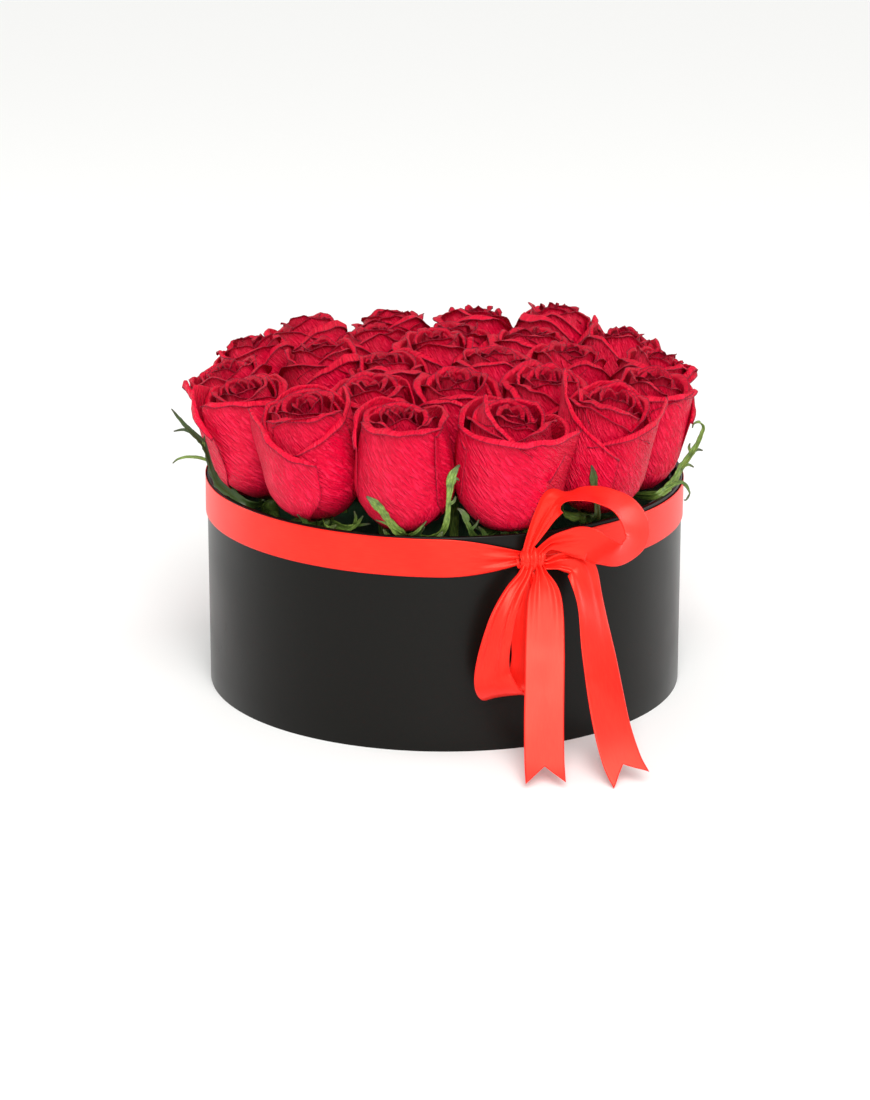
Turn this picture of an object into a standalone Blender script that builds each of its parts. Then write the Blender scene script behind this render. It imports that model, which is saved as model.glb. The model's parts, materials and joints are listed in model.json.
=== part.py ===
"""Round flower box.

A paper-covered board box holds a film liner, a block of wet floral foam and 25 cut roses. One satin
ribbon runs round the rim and is tied in a bow with two loops and two tails.

Metres, +Z up. The origin is the centre of the underside, and the bow is on the -Y side.
"""

import math
from dataclasses import dataclass

import bmesh
import bpy
from mathutils import Matrix, Vector

# Board box
BOX_RADIUS = 0.140
BOX_HEIGHT = 0.126
BOARD = 0.003  # board with its paper cover
ARRIS = 0.0006  # softened edge of the rim and of the foot
ROUND_SEGMENTS = 96

# Clearances
GAP = 0.0003  # between pieces that rest on or touch each other
LINER_CLEARANCE = 0.0006  # lets the liner slide out of the box
STEM_CLEARANCE = 0.0003  # round a stem in its hole
HEAD_CLEARANCE = 0.0010  # between neighbouring rose heads

# Liner and foam
LINER = 0.0008  # crumpled film takes up about this much
LINER_BELOW_RIM = 0.003
FOAM_BELOW_RIM = 0.031

# Roses
HEAD_HEIGHT = 0.066
HEAD_SINK = 0.003  # how far an outer head's foot stands below the rim
HEAD_CROWN = 0.006  # how much higher the middle of the bed stands
OUTER_HEAD_INSET = 0.0225  # from the box's outside to the outer heads' axes, at their widest
OUTER_LEAN = 14.0  # degrees; heads nearer the middle lean less
WIDEST = 0.38  # where a head is widest, as a share of its height
HIP_RADIUS = 0.0055
HIP_HEIGHT = 0.009
STEM_RADIUS = 0.00275
STEM_DEPTH = 0.060  # in the foam
HOLE_SPARE = 0.001  # below the stem's cut end
HEAD_STEPS = 14
STEM_STEPS = 10

# Azimuths in degrees from the front (-Y), positive towards +X
OUTER_AZIMUTHS = (-90, -65, -38, -11, 17, 47, 72, 97, 122, 147, 171.5, 196, 221, 246)
# Share of the way out to the inner bed's edge, and azimuth
INNER_PLACES = (
    (1.0, -34), (1.0, 50), (1.0, 98), (1.0, 137), (1.0, 175), (1.0, -147), (1.0, -103),
    (0.71, 7), (0.39, 74), (0.37, -167), (0.48, -68),
)
# Share of the head's height and share of its radius, from the tip down to the foot
HEAD_OUTLINE = (
    (0.93, 0.0), (1.0, 0.38), (0.95, 0.62), (0.82, 0.82), (0.62, 0.95), (WIDEST, 1.0),
    (0.20, 0.86), (0.07, 0.54), (0.0, 0.22), (0.0, 0.0),
)

# Ribbon
RIBBON_WIDTH = 0.022
RIBBON = 0.0008  # satin ribbon with its slight waviness
BAND_GATHER = 0.050  # length over which the band narrows to the knot
GATHERED = 0.25  # share of the ribbon's width that is left at the knot
BAND_DROP = 0.0025  # how much lower the band sits on the bow's far side
KNOT_AZIMUTH = 19.0
KNOT_BELOW_RIM = 0.013
KNOT_HALF = (0.0065, 0.0042, 0.0045)  # along the wall, outward, up
KNOT_OUT = 0.0052  # from the wall to the knot's middle
BAND_KNOT_GAP = 0.0015
TAIL_LIFT = 0.0014  # height of a tail's tip above the ground
TAIL_NOTCH = 0.010
SAMPLES = 3  # rows between two stations of a ribbon


@dataclass(frozen=True)
class Rose:
    """One cut rose: where its head's foot stands, how it leans and how wide its head is."""

    name: str
    foot: Vector
    azimuth: float
    lean: float
    head_radius: float


@dataclass(frozen=True)
class Station:
    """One place along a loose ribbon, in millimetres along the wall, outward and up from the knot.

    side points across the ribbon and width is the share of its full width that is spread there.
    """

    at: tuple
    side: tuple
    width: float = 1.0


LOOP_RIGHT = (
    Station((-1.5, 7.5, 7), (-1, 0, -0.3), 0.25),
    Station((3, 8, 17), (-0.9, -0.2, 0.35), 0.45),
    Station((7.5, 11, 28), (-0.87, -0.5, 0), 0.6),
    Station((12, 15.5, 36.5), (-0.35, -0.93, -0.1), 0.8),
    Station((22, 19, 38.5), (0.2, -0.97, 0)),
    Station((32, 19.5, 37.5), (0.2, -0.95, 0.18)),
    Station((42, 20, 34), (0.36, -0.89, 0.29)),
    Station((50, 21.5, 27.5), (0.6, -0.77, 0.2)),
    Station((55, 23, 18), (0.76, -0.65, -0.05)),
    Station((53, 25, 9.5), (0.77, -0.55, -0.33)),
    Station((44.5, 26, 4), (0.55, -0.54, -0.63)),
    Station((35, 25.5, 6.5), (0.31, -0.41, -0.86)),
    Station((27, 23, 11), (0.09, -0.25, -0.96)),
    Station((19, 17, 10.5), (0, -0.12, -0.99), 0.75),
    Station((12.5, 11.5, 9.5), (0, -0.1, -1), 0.45),
    Station((8.5, 9, 7.5), (0.2, 0, -0.98), 0.22),
)
LOOP_LEFT = (
    Station((-8, 8, -6.5), (-0.9, 0, 0.3), 0.25),
    Station((-16.5, 12, -17), (-0.96, 0.1, 0.26), 0.8),
    Station((-27, 14.5, -34), (-1, 0.15, 0), 0.95),
    Station((-28, 15.5, -50), (-0.98, 0.13, 0.1)),
    Station((-28.5, 15, -63), (-0.92, 0, -0.3)),
    Station((-26, 13.5, -70), (-0.7, -0.35, -0.6)),
    Station((-19, 11, -72), (-0.15, -0.5, -0.85)),
    Station((-13, 9, -70), (0.35, -0.4, -0.85)),
    Station((-8, 7, -64), (0.65, -0.3, -0.7)),
    Station((-5, 5, -52), (0.85, -0.15, -0.5)),
    Station((-3.5, 4.5, -37), (0.9, -0.1, -0.4), 0.9),
    Station((-1.5, 5, -21), (0.93, 0, -0.35), 0.45),
    Station((-1, 5.5, -9), (0.95, 0, -0.3), 0.22),
)
# The tails give their height as the share of the way down from the knot to the ground
TAIL_LEFT = (
    Station((4.5, 9, 0.065), (0.945, 0.326, 0), 0.25),
    Station((5, 14.5, 0.19), (0.945, 0.326, 0), 0.85),
    Station((1, 26, 0.46), (0.945, 0.326, 0)),
    Station((-6, 44, 0.74), (0.945, 0.326, 0)),
    Station((-10.5, 57, 0.91), (0.945, 0.326, 0)),
    Station((-13, 66, 1.0), (0.945, 0.326, 0)),
)
TAIL_RIGHT = (
    Station((9, 6, 0.035), (0.15, 0, 1), 0.25),
    Station((17, 9.5, 0.02), (0.3, 0, 0.95), 0.5),
    Station((26, 13, 0.045), (0.75, -0.1, 0.65), 0.75),
    Station((30.5, 17.5, 0.21), (0.87, -0.48, 0), 0.95),
    Station((30.5, 33, 0.47), (0.966, -0.26, 0)),
    Station((28.5, 56, 0.74), (1, -0.04, 0)),
    Station((30, 69, 0.91), (0.97, 0.15, 0)),
    Station((33, 77, 1.0), (0.945, 0.26, 0)),
)


def linear(channel):
    """One sRGB channel from 0 to 1 as linear light."""
    return channel / 12.92 if channel <= 0.04045 else ((channel + 0.055) / 1.055) ** 2.4


def make_material(name, colour, roughness, metallic=0.0):
    """A Principled material whose colour is an sRGB hex number."""
    material = bpy.data.materials.new(name)
    material.use_nodes = True
    shader = material.node_tree.nodes["Principled BSDF"]
    channels = [linear((colour >> shift & 255) / 255) for shift in (16, 8, 0)]
    shader.inputs["Base Color"].default_value = (*channels, 1.0)
    shader.inputs["Roughness"].default_value = roughness
    shader.inputs["Metallic"].default_value = metallic
    return material


def add_object(name, mesh, material, parent=None):
    """Links a new object with this mesh, material and parent."""
    piece = bpy.data.objects.new(name, mesh)
    bpy.context.scene.collection.objects.link(piece)
    if not mesh.materials:
        mesh.materials.append(material)
    piece.parent = parent
    return piece


def add_empty(name, matrix, parent=None):
    """An empty that carries the pieces which move together, with its Z along their axis."""
    empty = bpy.data.objects.new(name, None)
    bpy.context.scene.collection.objects.link(empty)
    empty.empty_display_size = 0.02
    empty.parent = parent
    empty.matrix_world = matrix
    return empty


def turned(name, outline, steps, material, parent=None, closed=False):
    """A turned piece. outline lists (radius, height) from the top down its outer side."""
    mesh = bpy.data.meshes.new(name)
    points = [(radius, 0.0, height) for radius, height in outline]
    edges = [(i, i + 1) for i in range(len(points) - 1)]
    if closed:
        edges.append((len(points) - 1, 0))
    mesh.from_pydata(points, edges, [])
    piece = add_object(name, mesh, material, parent)
    screw = piece.modifiers.new("turn", "SCREW")
    screw.axis = "Z"
    screw.steps = steps
    screw.render_steps = steps
    screw.use_merge_vertices = True
    screw.merge_threshold = 0.00001
    screw.use_smooth_shade = True
    return piece


def ring_outline(inner, outer, bottom, top, arris):
    """The section of a tube whose outer edges are softened."""
    return [
        (inner, top),
        (outer - arris, top),
        (outer, top - arris),
        (outer, bottom + arris),
        (outer - arris, bottom),
        (inner, bottom),
    ]


def wall_inside():
    return BOX_RADIUS - BOARD


def liner_radius():
    return wall_inside() - LINER_CLEARANCE


def foam_top():
    return BOX_HEIGHT - FOAM_BELOW_RIM


def build_box(board):
    """The board tube and the disc that closes it underneath."""
    turned("box_wall", ring_outline(wall_inside(), BOX_RADIUS, 0, BOX_HEIGHT, ARRIS),
           ROUND_SEGMENTS, board, closed=True)
    disc = wall_inside() - GAP
    turned("base_disc", [(0, BOARD), (disc, BOARD), (disc, 0), (0, 0)], ROUND_SEGMENTS, board)


def build_liner(film, parent):
    """The film cup that keeps the water off the board."""
    outer = liner_radius()
    inner = outer - LINER
    foot = BOARD + GAP
    top = BOX_HEIGHT - LINER_BELOW_RIM
    outline = [(0, foot + LINER), (inner, foot + LINER), (inner, top), (outer, top), (outer, foot), (0, foot)]
    turned("waterproof_liner", outline, ROUND_SEGMENTS, film, parent)


def least_chord(places):
    """The smallest distance between two of these points in the plane."""
    return min((a - b).length for i, a in enumerate(places) for b in places[:i])


def plan_point(radius, azimuth):
    """A point in plan, with the azimuth in degrees from the front."""
    angle = math.radians(azimuth)
    return Vector((radius * math.sin(angle), -radius * math.cos(angle)))


def plan_roses():
    """Every rose, from the outer ring inwards. Heads are as wide as their neighbours leave room for."""
    outer_ring = BOX_RADIUS - OUTER_HEAD_INSET
    outer_places = [plan_point(outer_ring, azimuth) for azimuth in OUTER_AZIMUTHS]
    outer_head = (least_chord(outer_places) - HEAD_CLEARANCE) / 2
    bed = outer_ring - outer_head - HEAD_CLEARANCE
    spread = least_chord([plan_point(*place) for place in INNER_PLACES])
    inner_head = (spread * bed - HEAD_CLEARANCE) / (2 + spread)
    rows = [(outer_ring, azimuth, outer_head) for azimuth in OUTER_AZIMUTHS]
    rows += [((bed - inner_head) * share, azimuth, inner_head) for share, azimuth in INNER_PLACES]
    roses = []
    for number, (radius, azimuth, head) in enumerate(rows, 1):
        lean = OUTER_LEAN * radius / outer_ring
        foot_radius = radius - WIDEST * HEAD_HEIGHT * math.sin(math.radians(lean))
        crown = HEAD_CROWN * (1 - (radius / outer_ring) ** 2)
        foot = plan_point(foot_radius, azimuth).to_3d()
        foot.z = BOX_HEIGHT - HEAD_SINK + crown
        roses.append(Rose(f"rose_{number:02d}", foot, azimuth, lean, head))
    return roses


def rose_matrix(rose):
    """The rose's own frame: origin at the head's foot, Z up its stem."""
    turn = Matrix.Rotation(math.radians(rose.azimuth), 4, "Z")
    lean = Matrix.Rotation(math.radians(rose.lean), 4, "X")
    return Matrix.Translation(rose.foot) @ turn @ lean


def stem_length(rose):
    """From the head's foot down to the stem's cut end."""
    return (rose.foot.z - foam_top()) / math.cos(math.radians(rose.lean)) + STEM_DEPTH


def build_roses(petal, stalk, parent):
    """A head and a stem for every rose, on an empty that lies on the stem's axis."""
    for rose in plan_roses():
        axis = add_empty(rose.name, rose_matrix(rose), parent)
        head = [(rose.head_radius * r, HEAD_HEIGHT * h) for h, r in HEAD_OUTLINE]
        turned(f"{rose.name}_bloom", head, HEAD_STEPS, petal, axis)
        foot = -stem_length(rose)
        stem = [
            (0, -GAP),
            (HIP_RADIUS * 0.8, -GAP),
            (HIP_RADIUS, -HIP_HEIGHT * 0.45),
            (STEM_RADIUS, -HIP_HEIGHT),
            (STEM_RADIUS, foot),
            (0, foot),
        ]
        turned(f"{rose.name}_stem", stem, STEM_STEPS, stalk, axis)


def build_foam(foam, parent):
    """The foam block, with a blind hole round each stem."""
    foot = BOARD + GAP + LINER + GAP
    radius = liner_radius() - LINER - GAP
    top = foam_top()
    block = turned("floral_foam", [(0, top), (radius, top), (radius, foot), (0, foot)], ROUND_SEGMENTS, foam, parent)
    holes = bmesh.new()
    for rose in plan_roses():
        bottom = -stem_length(rose) - HOLE_SPARE
        height = -bottom - HIP_HEIGHT
        middle = Matrix.Translation((0, 0, bottom + height / 2))
        radius = STEM_RADIUS + STEM_CLEARANCE
        bmesh.ops.create_cone(holes, cap_ends=True, segments=STEM_STEPS, radius1=radius, radius2=radius,
                              depth=height, matrix=rose_matrix(rose) @ middle)
    mesh = bpy.data.meshes.new("stem_holes")
    holes.to_mesh(mesh)
    holes.free()
    cutter = add_object("stem_holes", mesh, foam, parent)
    cutter.hide_render = True
    cutter.display_type = "WIRE"
    cut = block.modifiers.new("stem_holes", "BOOLEAN")
    cut.operation = "DIFFERENCE"
    cut.solver = "EXACT"
    cut.object = cutter


def knot_frame():
    """Axes along the wall, outward and up, from the wall's face under the knot."""
    turn = Matrix.Rotation(math.radians(KNOT_AZIMUTH), 4, "Z")
    flip = Matrix(((1, 0, 0, 0), (0, -1, 0, 0), (0, 0, 1, 0), (0, 0, 0, 1)))
    height = BOX_HEIGHT - KNOT_BELOW_RIM
    return Matrix.Translation((0, 0, height)) @ turn @ Matrix.Translation((0, -BOX_RADIUS - GAP, 0)) @ flip


def spline(a, b, c, d, t):
    """A Catmull-Rom curve from b to c."""
    return 0.5 * (2 * b + (c - a) * t + (2 * a - 5 * b + 4 * c - d) * t**2 + (3 * b - a - 3 * c + d) * t**3)


def smooth_rows(stations):
    """(middle, across) vectors down a loose ribbon, in the knot's frame."""
    middles = [Vector(s.at) for s in stations]
    across = [Vector(s.side).normalized() * s.width * RIBBON_WIDTH / 2 for s in stations]
    last = len(stations) - 1
    rows = []
    for i in range(last):
        around = [max(i - 1, 0), i, i + 1, min(i + 2, last)]
        for step in range(SAMPLES):
            t = step / SAMPLES
            rows.append(tuple(spline(*(line[k] for k in around), t) for line in (middles, across)))
    rows.append((middles[last], across[last]))
    return rows


def add_ribbon(name, rows, material):
    """A ribbon from rows of points across it, thickened evenly both ways."""
    form = bmesh.new()
    grid = [[form.verts.new(point) for point in row] for row in rows]
    for near, far in zip(grid, grid[1:]):
        for i in range(len(near) - 1):
            form.faces.new((near[i], near[i + 1], far[i + 1], far[i]))
    mesh = bpy.data.meshes.new(name)
    form.to_mesh(mesh)
    form.free()
    mesh.shade_smooth()
    piece = add_object(name, mesh, material)
    solid = piece.modifiers.new("thickness", "SOLIDIFY")
    solid.thickness = RIBBON
    solid.offset = 0.0
    return piece


def build_loop(name, stations, satin):
    """One loop of the bow."""
    frame = knot_frame()
    rows = []
    for middle, across in smooth_rows(stations):
        centre = middle / 1000
        rows.append([frame @ (centre - across), frame @ (centre + across)])
    add_ribbon(name, rows, satin)


def build_tail(name, stations, satin):
    """One tail, which runs down to the ground and ends in a swallow-tail cut."""
    frame = knot_frame()
    drop = frame.translation.z - TAIL_LIFT
    rows = []
    for middle, across in smooth_rows(stations):
        centre = Vector((middle.x / 1000, middle.y / 1000, -middle.z * drop))
        rows.append([frame @ (centre - across), frame @ centre, frame @ (centre + across)])
    # The middle line stops short of the two tips.
    lengths = [(b[1] - a[1]).length for a, b in zip(rows, rows[1:])]
    keep = 1 - TAIL_NOTCH / sum(lengths)
    middles = [row[1] for row in rows]
    for i, row in enumerate(rows):
        place = i * keep
        before = int(place)
        row[1] = middles[before].lerp(middles[min(before + 1, len(middles) - 1)], place - before)
    add_ribbon(name, rows, satin)


def build_band(satin):
    """The ribbon's long run round the wall, narrowing to the knot at both ends."""
    radius = BOX_RADIUS + GAP + RIBBON / 2
    start = math.degrees((KNOT_HALF[0] + BAND_KNOT_GAP) / radius)
    knot_height = BOX_HEIGHT - KNOT_BELOW_RIM
    rows = []
    for i in range(ROUND_SEGMENTS + 1):
        turn = start + (360 - 2 * start) * i / ROUND_SEGMENTS
        away = math.radians(min(turn, 360 - turn)) * radius
        spread = math.sin(min(away / BAND_GATHER, 1) * math.pi / 2)
        width = RIBBON_WIDTH * (GATHERED + (1 - GATHERED) * spread)
        drop = BAND_DROP * (1 + math.cos(math.radians(turn - 90))) / 2
        middle = knot_height + (BOX_HEIGHT - RIBBON_WIDTH / 2 - drop - knot_height) * spread
        place = plan_point(radius, KNOT_AZIMUTH + turn)
        rows.append([(*place, middle + width / 2), (*place, middle - width / 2)])
    add_ribbon("ribbon_band", rows, satin)


def build_knot(satin):
    """The tight crossing that the loops and tails come out of."""
    form = bmesh.new()
    size = Matrix.Diagonal((*KNOT_HALF, 1))
    place = knot_frame() @ Matrix.Translation((0, KNOT_OUT, 0)) @ size
    bmesh.ops.create_uvsphere(form, u_segments=16, v_segments=10, radius=1.0, matrix=place)
    bmesh.ops.recalc_face_normals(form, faces=form.faces)
    mesh = bpy.data.meshes.new("bow_knot")
    form.to_mesh(mesh)
    form.free()
    mesh.shade_smooth()
    add_object("bow_knot", mesh, satin)


def main():
    for leftover in list(bpy.data.objects):
        bpy.data.objects.remove(leftover, do_unlink=True)
    board = make_material("black_board", 0x1C1B1A, 0.55)
    film = make_material("clear_film", 0xC9CED0, 0.25)
    foam = make_material("wet_foam", 0x2F5B36, 0.95)
    petal = make_material("rose_petal", 0xC40D2C, 0.55)
    stalk = make_material("rose_stem", 0x5C7F38, 0.6)
    satin = make_material("red_satin", 0xF2332B, 0.4)
    build_box(board)
    insert = add_empty("insert", Matrix.Identity(4))
    build_liner(film, insert)
    build_foam(foam, insert)
    build_roses(petal, stalk, insert)
    build_band(satin)
    build_knot(satin)
    build_loop("loop_right", LOOP_RIGHT, satin)
    build_loop("loop_left", LOOP_LEFT, satin)
    build_tail("tail_left", TAIL_LEFT, satin)
    build_tail("tail_right", TAIL_RIGHT, satin)


main()
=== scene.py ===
"""Looks for a round flower box: rose heads, foliage, satin bow, film, foam and a soft studio.

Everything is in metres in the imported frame: +Z up, origin at the centre of the underside, bow on the -Y side.
"""

import json
import logging
import math
import random
from collections.abc import Callable
from dataclasses import dataclass, field
from enum import Enum

import bpy
from mathutils import Matrix, Vector, noise


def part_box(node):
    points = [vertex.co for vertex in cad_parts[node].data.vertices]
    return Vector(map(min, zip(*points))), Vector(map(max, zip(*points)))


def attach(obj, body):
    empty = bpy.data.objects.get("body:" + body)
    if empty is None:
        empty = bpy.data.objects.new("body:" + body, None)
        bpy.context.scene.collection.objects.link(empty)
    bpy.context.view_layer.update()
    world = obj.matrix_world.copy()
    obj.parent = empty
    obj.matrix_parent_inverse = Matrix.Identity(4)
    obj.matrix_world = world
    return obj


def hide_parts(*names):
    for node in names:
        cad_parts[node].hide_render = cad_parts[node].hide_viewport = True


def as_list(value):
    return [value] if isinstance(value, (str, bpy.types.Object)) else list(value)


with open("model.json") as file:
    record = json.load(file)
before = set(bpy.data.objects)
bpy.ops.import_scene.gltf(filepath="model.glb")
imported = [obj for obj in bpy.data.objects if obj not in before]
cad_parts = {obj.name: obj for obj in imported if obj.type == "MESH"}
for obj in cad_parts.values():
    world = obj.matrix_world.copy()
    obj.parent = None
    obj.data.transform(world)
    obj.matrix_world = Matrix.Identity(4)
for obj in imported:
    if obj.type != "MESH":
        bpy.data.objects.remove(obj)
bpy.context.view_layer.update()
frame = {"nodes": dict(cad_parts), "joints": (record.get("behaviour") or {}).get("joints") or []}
LOG = logging.getLogger("flower_box")

MM = 0.001


# ---------------------------------------------------------------- small helpers


def linear(hex_colour: int) -> tuple:
    """Turns an sRGB hex colour into linear light.

    Args:
        hex_colour: the colour, such as 0xC8102E.

    Returns:
        Red, green, blue and an alpha of 1.
    """
    channels = []
    for shift in (16, 8, 0):
        value = (hex_colour >> shift & 255) / 255
        channels.append(value / 12.92 if value <= 0.04045 else ((value + 0.055) / 1.055) ** 2.4)
    return (*channels, 1.0)


def add_node(tree: bpy.types.NodeTree, kind: str, inputs: dict | None = None, **settings) -> bpy.types.Node:
    """Adds a node with its settings, and fills its inputs with values or links.

    Args:
        tree: the node tree it goes in.
        kind: the node's type.
        inputs: socket name or number, and a value or another node's output.
        **settings: the node's own properties.

    Returns:
        The new node.
    """
    node = tree.nodes.new(kind)
    for name, value in settings.items():
        setattr(node, name, value)
    for name, value in (inputs or {}).items():
        socket = node.inputs[name]
        if isinstance(value, bpy.types.NodeSocket):
            tree.links.new(value, socket)
        else:
            socket.default_value = value
    return node


def stain(tree: bpy.types.NodeTree, under: int | bpy.types.NodeSocket, over: int,
          pattern: bpy.types.NodeSocket, low: float, high: float, start: float = 0.0,
          end: float = 1.0) -> bpy.types.NodeSocket:
    """Lays a colour over another, as strongly as a pattern says.

    Args:
        tree: the node tree it goes in.
        under: the colour so far, as an sRGB hex or an output.
        over: the sRGB hex colour laid over it.
        pattern: the output that says where it lies.
        low: the pattern's value where it has its start strength.
        high: the pattern's value where it has its end strength.
        start: its strength at low.
        end: its strength at high.

    Returns:
        The stained colour's output.
    """
    share = add_node(tree, "ShaderNodeMapRange", {0: pattern, 1: low, 2: high, 3: start, 4: end},
                     interpolation_type="SMOOTHSTEP").outputs["Result"]
    under = linear(under) if isinstance(under, int) else under
    return add_node(tree, "ShaderNodeMix", {0: share, 6: under, 7: linear(over)}, data_type="RGBA").outputs[2]


def dress(tree: bpy.types.NodeTree, shader: bpy.types.Node, colour: bpy.types.NodeSocket,
          *reliefs: tuple) -> None:
    """Gives a shader its colour and its relief.

    Args:
        tree: the node tree it is in.
        shader: the surface's shader.
        colour: the colour's output.
        *reliefs: (pattern, strength, depth in millimetres), the coarsest first.
    """
    tree.links.new(colour, shader.inputs["Base Color"])
    below = {}
    for pattern, strength, deep_mm in reliefs:
        bump = add_node(tree, "ShaderNodeBump",
                        {"Height": pattern, "Strength": strength, "Distance": deep_mm * MM, **below})
        below = {"Normal": bump.outputs[0]}
    for normal in below.values():
        tree.links.new(normal, shader.inputs["Normal"])


def new_surface(name: str, **values) -> tuple:
    """Makes a material with one Principled shader.

    Args:
        name: the material's name.
        **values: the shader's own sockets, with _ for a space.

    Returns:
        The material, its node tree and its shader.
    """
    material = bpy.data.materials.new(name)
    material.use_nodes = True
    tree = material.node_tree
    shader = tree.nodes["Principled BSDF"]
    for key, value in values.items():
        shader.inputs[key.replace("_", " ")].default_value = value
    return material, tree, shader


def smooth(share: float) -> float:
    """Eases a share from 0 to 1, held at both ends."""
    share = min(max(share, 0.0), 1.0)
    return share * share * (3 - 2 * share)


def ripple(x: float, y: float, seed: float) -> float:
    """Smooth noise from about -1 to 1 that is the same on every run."""
    return noise.noise(Vector((x, y, seed * 7.31 + 0.17)))


def catmull(a: Vector, b: Vector, c: Vector, d: Vector, t: float) -> Vector:
    """The place at a share t of the Catmull-Rom curve from b to c."""
    return 0.5 * (2 * b + (c - a) * t + (2 * a - 5 * b + 4 * c - d) * t**2 + (3 * b - a - 3 * c + d) * t**3)


def through(points: list, steps: int) -> list:
    """A smooth row of vectors through some points.

    Args:
        points: the vectors it passes through.
        steps: rows between two of them.

    Returns:
        The vectors, both ends included.
    """
    last = len(points) - 1
    row = []
    for i in range(last):
        around = [points[max(i - 1, 0)], points[i], points[i + 1], points[min(i + 2, last)]]
        row += [catmull(*around, step / steps) for step in range(steps)]
    return [*row, points[last].copy()]


@dataclass
class Sheets:
    """Thin sheets collected into one mesh, each a grid of points with a place on its own flat cut."""

    uv_name: str
    points: list = field(default_factory=list)
    faces: list = field(default_factory=list)
    flats: list = field(default_factory=list)
    edges: list = field(default_factory=list)
    tone_and_shade_values: list = field(default_factory=list)
    slots: list = field(default_factory=list)

    def add(self, grid: list, flat: list, edge: list | None = None, tone_and_shade: float = 0.5, slot: int = 0,
            closed: bool = False) -> None:
        """Adds one grid.

        Args:
            grid: rows of points.
            flat: rows of (across, along) in millimetres, one for each point.
            edge: rows of distances to the sheet's free edge in millimetres.
            tone_and_shade: a number from 0 to 1 that varies one sheet from the next; on rose petals it is also
                painted shade, higher for the inner ones.
            slot: which of the piece's materials it has.
            closed: whether each row's ends meet.
        """
        start = len(self.points)
        wide = len(grid[0])
        for i, row in enumerate(grid):
            self.points += row
            self.flats += flat[i]
            self.edges += edge[i] if edge else [20.0] * wide
            self.tone_and_shade_values += [tone_and_shade] * wide
        for i in range(len(grid) - 1):
            for j in range(wide if closed else wide - 1):
                k = (j + 1) % wide
                corners = (i * wide + j, i * wide + k, (i + 1) * wide + k, (i + 1) * wide + j)
                self.faces.append([start + c for c in corners])
                self.slots.append(slot)

    def lay(self, rows: int, columns: int, place: Callable, closed: bool = False, tone_and_shade: float = 0.5) -> None:
        """Adds the grid that a function describes.

        Args:
            rows: how many rows it has.
            columns: how many points a row has.
            place: takes a row and a column and gives the point and its (across, along) on the flat cut.
            closed: whether each row's ends meet.
            tone_and_shade: a number from 0 to 1 that varies one sheet from the next; on rose petals it is also
                painted shade, higher for the inner ones.
        """
        cells = [[place(i, j) for j in range(columns)] for i in range(rows)]
        points = [[cell[0] for cell in row] for row in cells]
        self.add(points, [[cell[1] for cell in row] for row in cells], tone_and_shade=tone_and_shade, closed=closed)

    def build(self, name: str, materials: list, thickness: float = 0.0, sides: int = 0) -> bpy.types.Object:
        """Makes the piece.

        Args:
            name: the piece's name.
            materials: its materials.
            thickness: of the sheet, or 0 for a surface that is closed already.
            sides: how many materials further on the reverse has its own.

        Returns:
            The new object.
        """
        mesh = bpy.data.meshes.new(name)
        mesh.from_pydata(self.points, [], self.faces)
        uv = mesh.uv_layers.new(name=self.uv_name)
        corners = [0.0] * (2 * len(mesh.loops))
        for i, loop in enumerate(mesh.loops):
            corners[2 * i : 2 * i + 2] = self.flats[loop.vertex_index]
        uv.data.foreach_set("uv", corners)
        for label, values in (("edge_mm", self.edges), ("tone_and_shade", self.tone_and_shade_values)):
            mesh.attributes.new(label, "FLOAT", "POINT").data.foreach_set("value", values)
        mesh.polygons.foreach_set("material_index", self.slots)
        for material in materials:
            mesh.materials.append(material)
        mesh.shade_smooth()
        piece = bpy.data.objects.new(name, mesh)
        bpy.context.scene.collection.objects.link(piece)
        if thickness:
            solid = piece.modifiers.new("thickness", "SOLIDIFY")
            solid.thickness = thickness
            solid.offset = 0.0
            solid.material_offset = sides
        return piece


# ---------------------------------------------------------------- finishes


class PetalFace(Enum):
    """Which face of a rose petal a finish is for."""

    OUTSIDE = "outside"
    INSIDE = "inside"


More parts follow.
